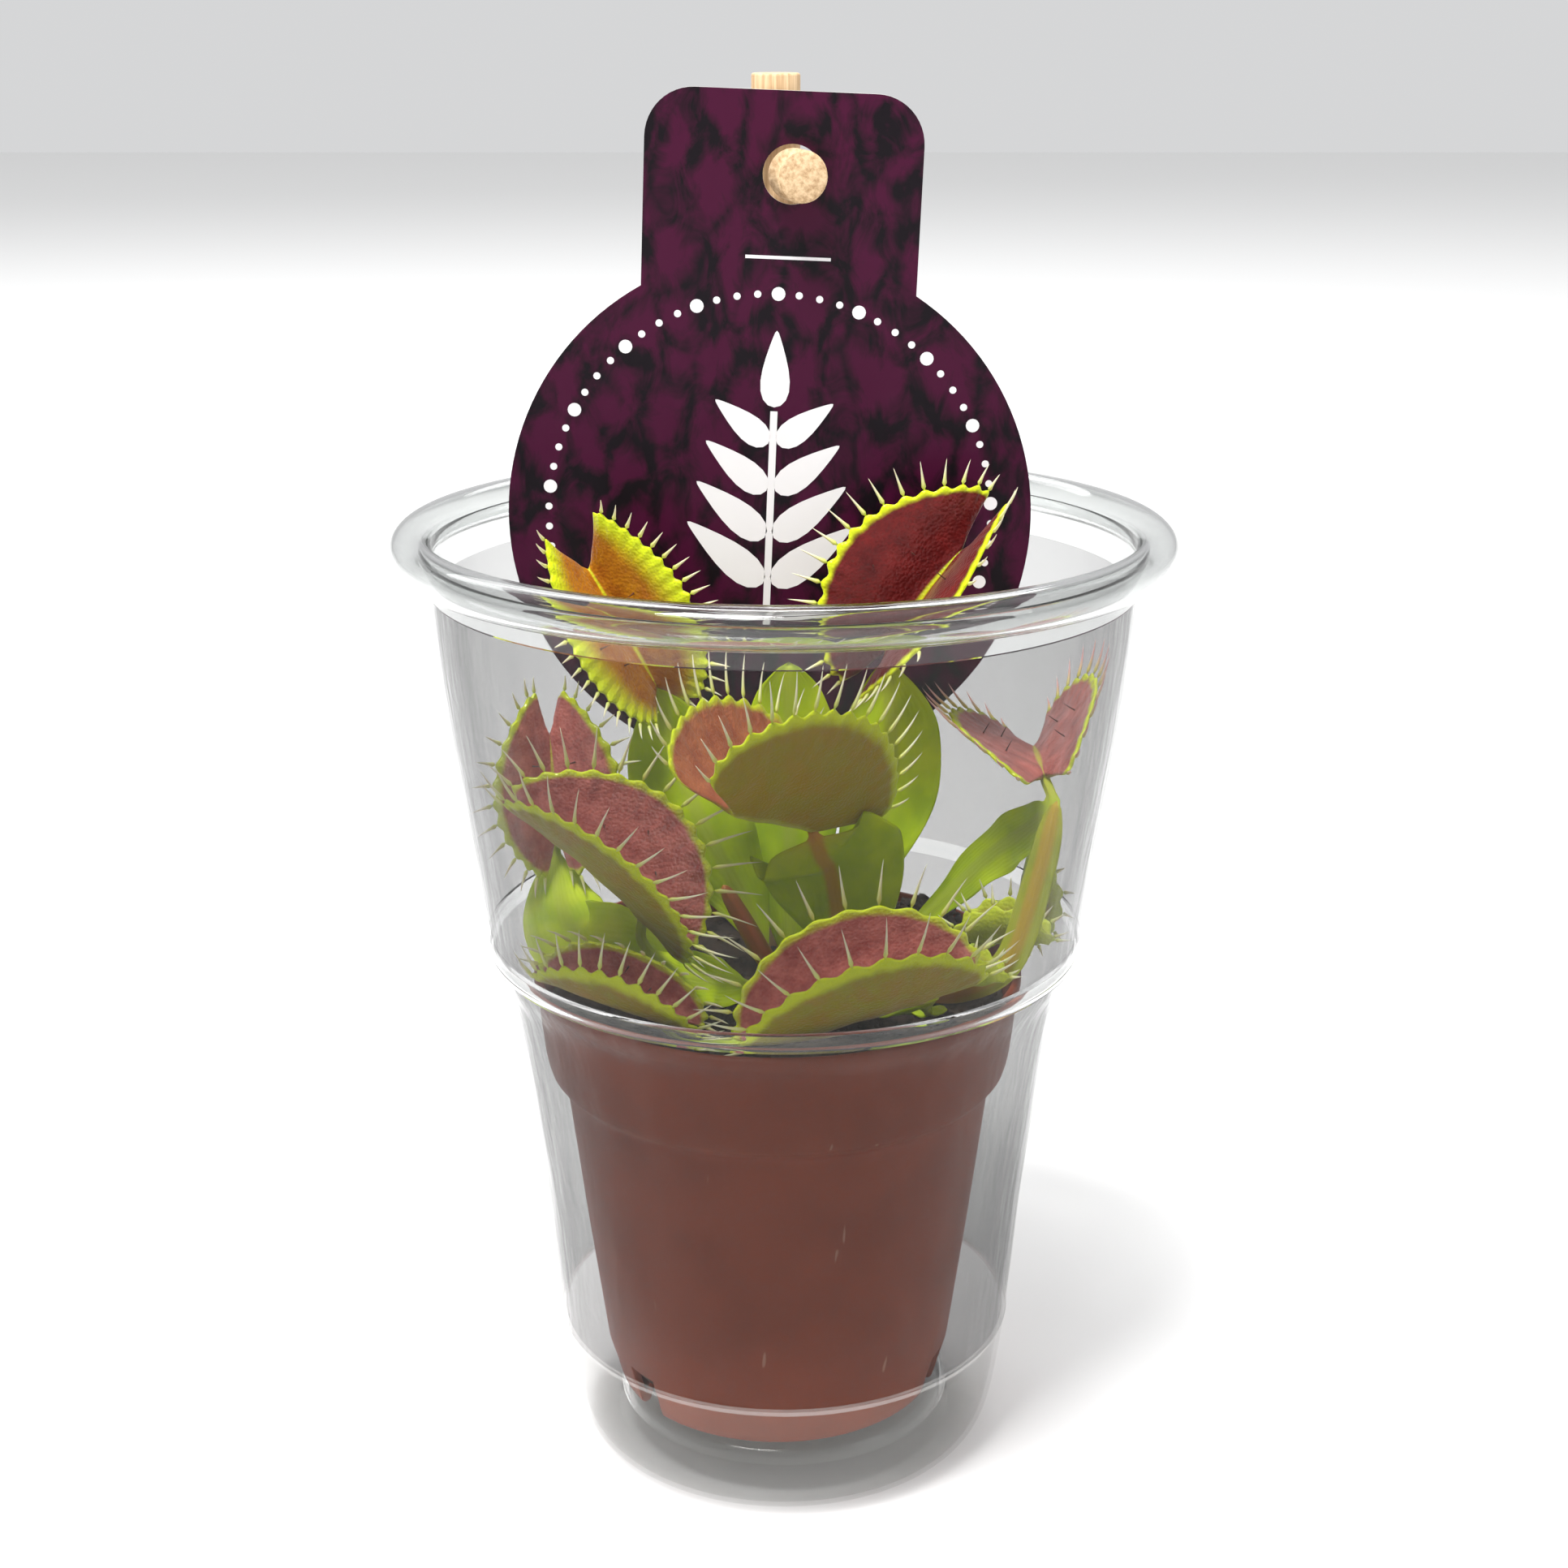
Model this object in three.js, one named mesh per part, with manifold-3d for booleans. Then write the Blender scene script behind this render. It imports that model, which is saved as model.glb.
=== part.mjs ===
// Venus flytrap in a nursery pot, stood in a clear drinking cup, with a card tag on a stick.
// Millimetres, +Z up. The origin is the middle of the cup's base, where it stands.
import * as THREE from 'three';
import { mergeVertices } from 'three/addons/utils/BufferGeometryUtils.js';
import Module from 'manifold-3d';

const wasm = await Module();
wasm.setup();

// Driving dimensions. Pieces that touch keep this gap between their surfaces.
const gap = 0.3;

// Each pair up a wall is [radius, height].
const cup = {
  height: 121.7, rimRadius: 47.5, beadRadius: 2.6, wall: 0.6, sides: 36,
  standRadius: 23.5, plateauRadius: 21.5, plateauHeight: 6.7,
  heel: [27.5, 1.2], foot: [28.4, 7.5], ankle: [29.3, 13], calf: [30, 22], knee: [31, 35], hip: [33.8, 57],
  waist: [35, 63], shoulderBend: [37.2, 66.5], shoulder: [37.7, 72.5], chest: [41.6, 99.8], neck: [42.8, 112],
};
const pot = {
  aside: -0.8, bottom: cup.plateauHeight + gap, floor: 2.6, wall: 0.9, sides: 36,
  foot: [20.9, cup.plateauHeight + gap], bodyBottom: [22, 9.6], bodyTop: [27.5, 49.4], ledge: [28.4, 50.7],
  collarBottom: [29.5, 52.5], collar: [30, 54.1], lip: [30.6, 62.8], rim: [30.8, 63.6],
  rimTop: 64.4, rimRound: 0.35, footWidth: 1, footBevel: 0.4,
};
const drain = { count: 3, turn: 69, width: 4.6, depth: 9, height: 5.2, aboveFoot: 2.4, inset: 0.4 };
const soil = {
  level: 60, edgeDrop: 1.6, clearance: 0.35, rings: [24, 17.5, 11, 4.5, 0], relief: 0.7,
  moundHeight: 7.5, moundX: 20, moundY: 15, moundSpread: 7,
};
const card = {
  discRadius: 33.1, neckWidth: 34, neckTop: 52.2, cornerRadius: 6, thickness: 0.7, lean: 2.3,
  centreX: -1.8, centreZ: 118.6, back: 16.1, holeAside: 1.1, holeUp: 42.4, holeRadius: 3.6,
};
const stick = { radius: 3, x: -1, y: 19.5, bottom: 30, top: 172.7, sides: 20 };
const peg = { radius: 3.15, front: 10.4, yaw: 13, seatGap: 0.85, tenonRadius: 1.6, tenonLength: 5.2 };
const crown = { x: 0.5, y: 2, rootDepth: 7, holeRadius: 1.9, holeSides: 8 };
const blade = { rib: 1.8, edge: 0.7, stalk: 1, taper: 0.35, arch: 0.18, wingPower: 0.8, heart: 0.45 };
const lobe = {
  keel: 1.0, keelAngle: 66, thickness: 0.9, middle: 0.55, endReach: 0.5, marginPower: 2.6, pinch: 0.3,
  toothFoot: 0.17, toothStagger: 0.25, toothShrink: 0.45, stalkGap: 0.55, enterLength: 3,
  enter: [-0.64, 0, -0.77],
};

const material = (colour, roughness, metalness = 0) => new THREE.MeshStandardMaterial({
  color: colour, roughness, metalness, side: THREE.DoubleSide,
});
const finishes = {
  clear: material(0xc8ccc8, 0.08),
  terracotta: material(0x7e4234, 0.55),
  peat: material(0x3a322c, 0.95),
  card: material(0x3a0a2a, 0.45),
  wood: material(0xdcbe8c, 0.7),
  leaf: material(0x86b52a, 0.5),
  trap: material(0x8a3a34, 0.45),
};

const degrees = THREE.MathUtils.degToRad;
const vec = (x, y, z) => new THREE.Vector3(x, y, z);
const object = new THREE.Group();

function addMesh(name, geometry, finish, parent = object) {
  const mesh = new THREE.Mesh(geometry, finish);
  mesh.name = name;
  parent.add(mesh);
  return mesh;
}

// Solids for joining and cutting: a closed mesh becomes a manifold and comes back as a geometry.
function toSolid(geometry) {
  const bare = new THREE.BufferGeometry();
  bare.setAttribute('position', geometry.getAttribute('position').clone());
  if (geometry.index) bare.setIndex(geometry.index.clone());
  const merged = mergeVertices(bare, 1e-4);
  return new wasm.Manifold(new wasm.Mesh({
    numProp: 3,
    vertProperties: new Float32Array(merged.getAttribute('position').array),
    triVerts: new Uint32Array(merged.index.array),
  }));
}

function toGeometry(solid) {
  const mesh = solid.getMesh();
  const geometry = new THREE.BufferGeometry();
  geometry.setAttribute('position', new THREE.BufferAttribute(mesh.vertProperties, 3));
  geometry.setIndex(new THREE.BufferAttribute(mesh.triVerts, 1));
  return geometry;
}

// A turned piece: the profile runs in (radius, height) and is spun round the Z axis.
function turned(profile, sides) {
  const geometry = new THREE.LatheGeometry(profile, sides);
  geometry.rotateX(Math.PI / 2);
  return geometry;
}

// A rod of round section from one point to another.
function rod(from, to, radius, sides) {
  const along = new THREE.Vector3().subVectors(to, from);
  const geometry = new THREE.CylinderGeometry(radius, radius, along.length(), sides);
  const turn = new THREE.Quaternion().setFromUnitVectors(vec(0, 1, 0), along.clone().normalize());
  geometry.applyQuaternion(turn);
  const middle = new THREE.Vector3().addVectors(from, to).multiplyScalar(0.5);
  geometry.translate(middle.x, middle.y, middle.z);
  return geometry;
}

// The profile shifted sideways by a wall's thickness, to the left of its direction.
function offsetProfile(points, distance) {
  return points.map((point, i) => {
    const before = points[Math.max(i - 1, 0)];
    const after = points[Math.min(i + 1, points.length - 1)];
    const along = after.clone().sub(before).normalize();
    return new THREE.Vector2(point.x - along.y * distance, point.y + along.x * distance);
  });
}

// Clear cup: one thin wall with a rolled rim, a rounded shoulder and a base pushed up inside.
function buildCup() {
  const c = cup;
  const beadX = c.rimRadius - c.beadRadius;
  const beadY = c.height - c.beadRadius;
  const wallPath = new THREE.Path();
  wallPath.moveTo(c.standRadius, 0);
  wallPath.quadraticCurveTo(...c.heel, ...c.foot);
  wallPath.quadraticCurveTo(...c.ankle, ...c.calf);
  wallPath.lineTo(...c.knee);
  wallPath.lineTo(...c.hip);
  wallPath.lineTo(...c.waist);
  wallPath.quadraticCurveTo(...c.shoulderBend, ...c.shoulder);
  wallPath.lineTo(...c.chest);
  wallPath.lineTo(...c.neck);
  const outside = wallPath.getPoints(3);
  const inside = offsetProfile(outside, c.wall);
  inside[0] = new THREE.Vector2(c.standRadius, c.wall);
  const bead = [];
  for (let turn = -135; turn <= 180; turn += 45) {
    const angle = degrees(turn);
    bead.push(new THREE.Vector2(
      beadX + Math.cos(angle) * c.beadRadius,
      beadY + Math.sin(angle) * c.beadRadius,
    ));
  }
  const profile = [
    new THREE.Vector2(0, c.plateauHeight - c.wall),
    new THREE.Vector2(c.plateauRadius - c.wall, c.plateauHeight - c.wall),
    new THREE.Vector2(c.plateauRadius, 0),
    ...outside,
    ...bead,
    ...inside.reverse(),
    new THREE.Vector2(c.plateauRadius + c.wall, c.wall),
    new THREE.Vector2(c.plateauRadius, c.plateauHeight),
    new THREE.Vector2(0, c.plateauHeight),
  ];
  addMesh('cup', turned(profile, c.sides), finishes.clear);
}

// Nursery pot: a tapered shell with a deep collar, and drain slots cut through its bottom corner.
const potOutside = [
  pot.foot, pot.bodyBottom, pot.bodyTop, pot.ledge, pot.collarBottom, pot.collar, pot.lip, pot.rim,
].map(([radius, height]) => new THREE.Vector2(radius, height));

function buildPot(parent) {
  const floorTop = pot.bottom + pot.floor + pot.wall;
  const inside = offsetProfile(potOutside, pot.wall).slice(1);
  inside[0] = new THREE.Vector2(pot.bodyBottom[0] - pot.wall, floorTop);
  const profile = [
    new THREE.Vector2(0, floorTop - pot.wall),
    new THREE.Vector2(pot.foot[0] - pot.footWidth - pot.footBevel, floorTop - pot.wall),
    new THREE.Vector2(pot.foot[0] - pot.footWidth, pot.bottom),
    ...potOutside,
    new THREE.Vector2(pot.rim[0] - pot.rimRound, pot.rimTop),
    new THREE.Vector2(pot.rim[0] - pot.wall, pot.rimTop),
    ...inside.reverse(),
    new THREE.Vector2(0, floorTop),
  ];
  let solid = toSolid(turned(profile, pot.sides));
  for (let i = 0; i < drain.count; i += 1) {
    const slot = new THREE.BoxGeometry(drain.width, drain.depth, drain.height);
    slot.translate(0, drain.inset - pot.bodyBottom[0], pot.bottom + drain.aboveFoot);
    slot.rotateZ(degrees(drain.turn + (i * 360) / drain.count));
    solid = solid.subtract(toSolid(slot));
  }
  addMesh('pot', toGeometry(solid), finishes.terracotta, parent);
}

// Uneven top of the peat, with a crumbly mound at the back right.
function soilHeight(x, y) {
  const ripple = Math.sin(x * 0.61 + 1.3) * Math.cos(y * 0.53 - 0.4);
  const swell = 0.6 * Math.sin(x * 0.23 - y * 0.41);
  const distance = Math.hypot(x - soil.moundX, (y - soil.moundY) * 1.2);
  const mound = soil.moundHeight * Math.exp(-((distance / soil.moundSpread) ** 2));
  return soil.level + soil.relief * (ripple + swell) + mound;
}

function buildSoil(parent, stems) {
  const side = offsetProfile(potOutside, pot.wall + soil.clearance).slice(1, -2);
  side[0].set(side[0].x - gap, pot.bottom + pot.floor + pot.wall + gap);
  const edge = side[side.length - 1];
  const profile = [
    new THREE.Vector2(0, side[0].y),
    ...side,
    new THREE.Vector2(edge.x + 0.25, soil.level - soil.edgeDrop),
    ...soil.rings.map((radius) => new THREE.Vector2(radius, soil.level)),
  ];
  const geometry = turned(profile, pot.sides);
  const position = geometry.getAttribute('position');
  for (let i = 0; i < position.count; i += 1) {
    const top = position.getZ(i) - soil.level;
    if (top < -soil.edgeDrop - 0.01) continue;
    position.setZ(i, soilHeight(position.getX(i), position.getY(i)) + top);
  }
  let solid = toSolid(geometry);
  for (const stem of stems) solid = solid.subtract(toSolid(stem));
  addMesh('soil', toGeometry(solid), finishes.peat, parent);
}

// Card tag: a disc with a straight neck, hung on the peg by a round hole and leaning a little.
function buildCard() {
  const join = Math.acos(card.neckWidth / 2 / card.discRadius);
  const half = card.neckWidth / 2;
  const inner = half - card.cornerRadius;
  const shoulder = card.neckTop - card.cornerRadius;
  const shape = new THREE.Shape();
  shape.absarc(0, 0, card.discRadius, Math.PI - join, 2 * Math.PI + join, false);
  shape.lineTo(half, shoulder);
  shape.absarc(inner, shoulder, card.cornerRadius, 0, Math.PI / 2, false);
  shape.lineTo(-inner, card.neckTop);
  shape.absarc(-inner, shoulder, card.cornerRadius, Math.PI / 2, Math.PI, false);
  const hole = new THREE.Path();
  hole.absarc(card.holeAside, card.holeUp, card.holeRadius, 0, 2 * Math.PI, true);
  shape.holes.push(hole);
  const geometry = new THREE.ExtrudeGeometry(shape, {
    depth: card.thickness, bevelEnabled: false, curveSegments: 16,
  });
  geometry.rotateX(Math.PI / 2);
  const mesh = addMesh('tag', geometry, finishes.card);
  mesh.position.set(card.centreX, card.back, card.centreZ);
  mesh.rotation.y = degrees(card.lean);
  mesh.updateMatrixWorld(true);
  return mesh.localToWorld(vec(card.holeAside, 0, card.holeUp));
}

// Wooden stick behind the tag, and the short peg that holds the tag to it by a tenon.
function buildStickAndPeg(hole) {
  const axis = vec(Math.sin(degrees(peg.yaw)), -Math.cos(degrees(peg.yaw)), 0);
  const along = (y) => hole.clone().addScaledVector(axis, (y - hole.y) / axis.y);
  const seat = along(stick.y - stick.radius - peg.seatGap);
  const tenonEnd = seat.clone().addScaledVector(axis, -peg.tenonLength);
  const drillEnd = seat.clone().addScaledVector(axis, -peg.tenonLength - gap);
  const bottom = vec(stick.x, stick.y, stick.bottom);
  const top = vec(stick.x, stick.y, stick.top);
  const whole = toSolid(rod(bottom, top, stick.radius, stick.sides));
  const drill = toSolid(rod(seat, drillEnd, peg.tenonRadius + gap, 12));
  addMesh('stick', toGeometry(whole.subtract(drill)), finishes.wood);
  const head = toSolid(rod(along(peg.front), seat, peg.radius, 18));
  const tenon = toSolid(rod(seat.clone().addScaledVector(axis, 0.5), tenonEnd, peg.tenonRadius, 12));
  addMesh('stick_peg', toGeometry(head.add(tenon)), finishes.wood);
}

// A thin closed sheet over a grid of rows and columns. corner(i, j, side) gives its surface on
// side 1 and -1, and spike(i, edge) may give a point that the edge's face is drawn out to.
function sheetGeometry(rows, columns, corner, spike = () => null) {
  const points = [];
  const indices = [];
  const at = (i, j, side) => (side > 0 ? 0 : (rows + 1) * (columns + 1)) + i * (columns + 1) + j;
  for (const side of [1, -1]) {
    for (let i = 0; i <= rows; i += 1) {
      for (let j = 0; j <= columns; j += 1) points.push(...corner(i, j, side).toArray());
    }
  }
  const quad = (a, b, c, d) => indices.push(a, b, c, a, c, d);
  const cone = (a, b, c, d, apex) => {
    const top = points.length / 3;
    points.push(...apex.toArray());
    indices.push(a, b, top, b, c, top, c, d, top, d, a, top);
  };
  for (let i = 0; i < rows; i += 1) {
    for (let j = 0; j < columns; j += 1) {
      quad(at(i, j, 1), at(i + 1, j, 1), at(i + 1, j + 1, 1), at(i, j + 1, 1));
      indices.push(at(i, j, -1), at(i + 1, j + 1, -1), at(i + 1, j, -1));
      indices.push(at(i, j, -1), at(i, j + 1, -1), at(i + 1, j + 1, -1));
    }
  }
  for (let i = 0; i < rows; i += 1) {
    const end = columns;
    const low = [at(i, 0, 1), at(i, 0, -1), at(i + 1, 0, -1), at(i + 1, 0, 1)];
    const high = [at(i, end, 1), at(i + 1, end, 1), at(i + 1, end, -1), at(i, end, -1)];
    for (const [edge, corners] of [[-1, low], [1, high]]) {
      const apex = spike(i, edge);
      if (apex) cone(...corners, apex);
      else quad(...corners);
    }
  }
  for (let j = 0; j < columns; j += 1) {
    quad(at(0, j, 1), at(0, j + 1, 1), at(0, j + 1, -1), at(0, j, -1));
    quad(at(rows, j, 1), at(rows, j, -1), at(rows, j + 1, -1), at(rows, j + 1, 1));
  }
  const geometry = new THREE.BufferGeometry();
  geometry.setAttribute('position', new THREE.Float32BufferAttribute(points, 3));
  geometry.setIndex(indices);
  return geometry;
}

// One trap: two kidney lobes folded at a keel. Along the keel u runs from -1 at the stalk to 1 at
// the tip, ribs fan out from it, and each lobe bends in cross-section from its root to its margin.
function trapGeometry(trap) {
  const rows = 2 * trap.teeth + 1;
  const steps = [0, lobe.keel / trap.reach, lobe.middle, 1];
  const columns = 2 * (steps.length - 1);
  const bend = (2 * degrees(trap.curl)) / (trap.reach - lobe.keel);
  const startAngle = degrees(trap.opening + trap.curl);
  const halfLength = trap.keelLength / 2 + trap.reach * lobe.endReach;

  const section = (b) => {
    const keelPart = Math.min(b, lobe.keel);
    let y = keelPart * Math.sin(degrees(lobe.keelAngle));
    let z = keelPart * Math.cos(degrees(lobe.keelAngle));
    const rest = b - keelPart;
    if (rest > 0) {
      const angle = startAngle - bend * rest;
      y += (Math.cos(angle) - Math.cos(startAngle)) / bend;
      z += (Math.sin(startAngle) - Math.sin(angle)) / bend;
    }
    return [y, z];
  };
  const rimPlace = (i, lobeSide) => {
    if (i === 0 || i === rows) return i === 0 ? -1 : 1;
    const tooth = Math.floor((i - 1) / 2) + 0.5 + lobeSide * lobe.toothStagger;
    const foot = (i % 2 === 1 ? -1 : 1) * lobe.toothFoot;
    return -1 + (2 * (tooth + foot)) / trap.teeth;
  };
  const middle = (i, j) => {
    const k = j - columns / 2;
    const w = steps[Math.abs(k)];
    const u = THREE.MathUtils.lerp(-1 + (2 * i) / rows, rimPlace(i, Math.sign(k)), w);
    const ear = u > 0 ? trap.tipEar : trap.stalkEar;
    const margin = Math.sqrt(1 - Math.abs(u) ** lobe.marginPower);
    const rib = trap.reach * (ear + (1 - ear) * margin) * w;
    const spread = degrees(trap.fan) * u;
    const a = (trap.keelLength / 2) * u + rib * Math.sin(spread);
    const [y, z] = section(rib * Math.cos(spread));
    const end = (a / halfLength) ** 2;
    const side = Math.sign(k) * y * (1 - lobe.pinch * end);
    return vec(a, side, z - trap.droop * end);
  };
  const normal = (i, j) => {
    const alongU = middle(Math.min(i + 1, rows), j).sub(middle(Math.max(i - 1, 0), j));
    const alongV = middle(i, Math.min(j + 1, columns)).sub(middle(i, Math.max(j - 1, 0)));
    return alongU.cross(alongV).normalize();
  };
  const corner = (i, j, side) => (
    middle(i, j).addScaledVector(normal(i, j), (side * lobe.thickness) / 2)
  );
  const spike = (i, edge) => {
    if (i % 2 === 0) return null;
    const rim = edge < 0 ? 0 : columns;
    const foot = middle(i, rim).add(middle(i + 1, rim)).multiplyScalar(0.5);
    const inner = middle(i, rim - edge).add(middle(i + 1, rim - edge)).multiplyScalar(0.5);
    const along = foot.clone().sub(inner).normalize();
    along.addScaledVector(normal(i, rim), trap.toothTilt).normalize();
    const far = Math.abs(-1 + (2 * i + 1) / rows);
    return foot.addScaledVector(along, trap.toothLength * (1 - lobe.toothShrink * far ** 3));
  };
  return sheetGeometry(rows, columns, corner, spike);
}

// Turns a trap from its own axes, X from stalk to tip and Z out of its mouth, to its place.
function trapMatrix(trap) {
  const tip = vec(...trap.tip).normalize();
  const mouth = vec(...trap.mouth);
  mouth.addScaledVector(tip, -mouth.dot(tip)).normalize();
  const side = new THREE.Vector3().crossVectors(mouth, tip);
  return new THREE.Matrix4().makeBasis(tip, side, mouth).setPosition(...trap.at);
}

// One leaf blade: a path from its root in the peat, with wings that widen and close again.
function bladeGeometry(leaf, path) {
  const rows = leaf.rows ?? 9;
  const across = leaf.slim ? [-1, 0, 1] : [-1, -0.5, 0, 0.5, 1];
  const stalk = leaf.stalk ?? blade.stalk;
  const face = vec(...leaf.face);
  const corner = (i, j, side) => {
    const t = i / rows;
    const centre = path.getPointAt(t);
    const tangent = path.getTangentAt(t);
    const aside = new THREE.Vector3().crossVectors(tangent, face).normalize();
    const up = new THREE.Vector3().crossVectors(aside, tangent);
    const open = THREE.MathUtils.clamp((t - leaf.from) / (leaf.to - leaf.from), 0, 1);
    const wing = Math.sin(Math.PI * open ** leaf.skew) ** (leaf.wingPower ?? blade.wingPower);
    const taper = 1 - blade.taper * t;
    const half = stalk * taper + (leaf.wing - stalk) * wing;
    const v = across[j];
    const rib = (leaf.rib ?? blade.rib) * taper;
    const thickness = blade.edge + (rib - blade.edge) * (1 - Math.abs(v)) ** 2;
    const lift = (leaf.arch ?? blade.arch) * (half - stalk) * v * v + (side * thickness) / 2;
    const ahead = ((leaf.heart ?? blade.heart) * (half - stalk) ** 2 * v * v) / (leaf.wing - stalk);
    centre.addScaledVector(tangent, ahead);
    return centre.addScaledVector(aside, -v * half).addScaledVector(up, lift);
  };
  return sheetGeometry(rows, across.length - 1, corner);
}

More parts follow.
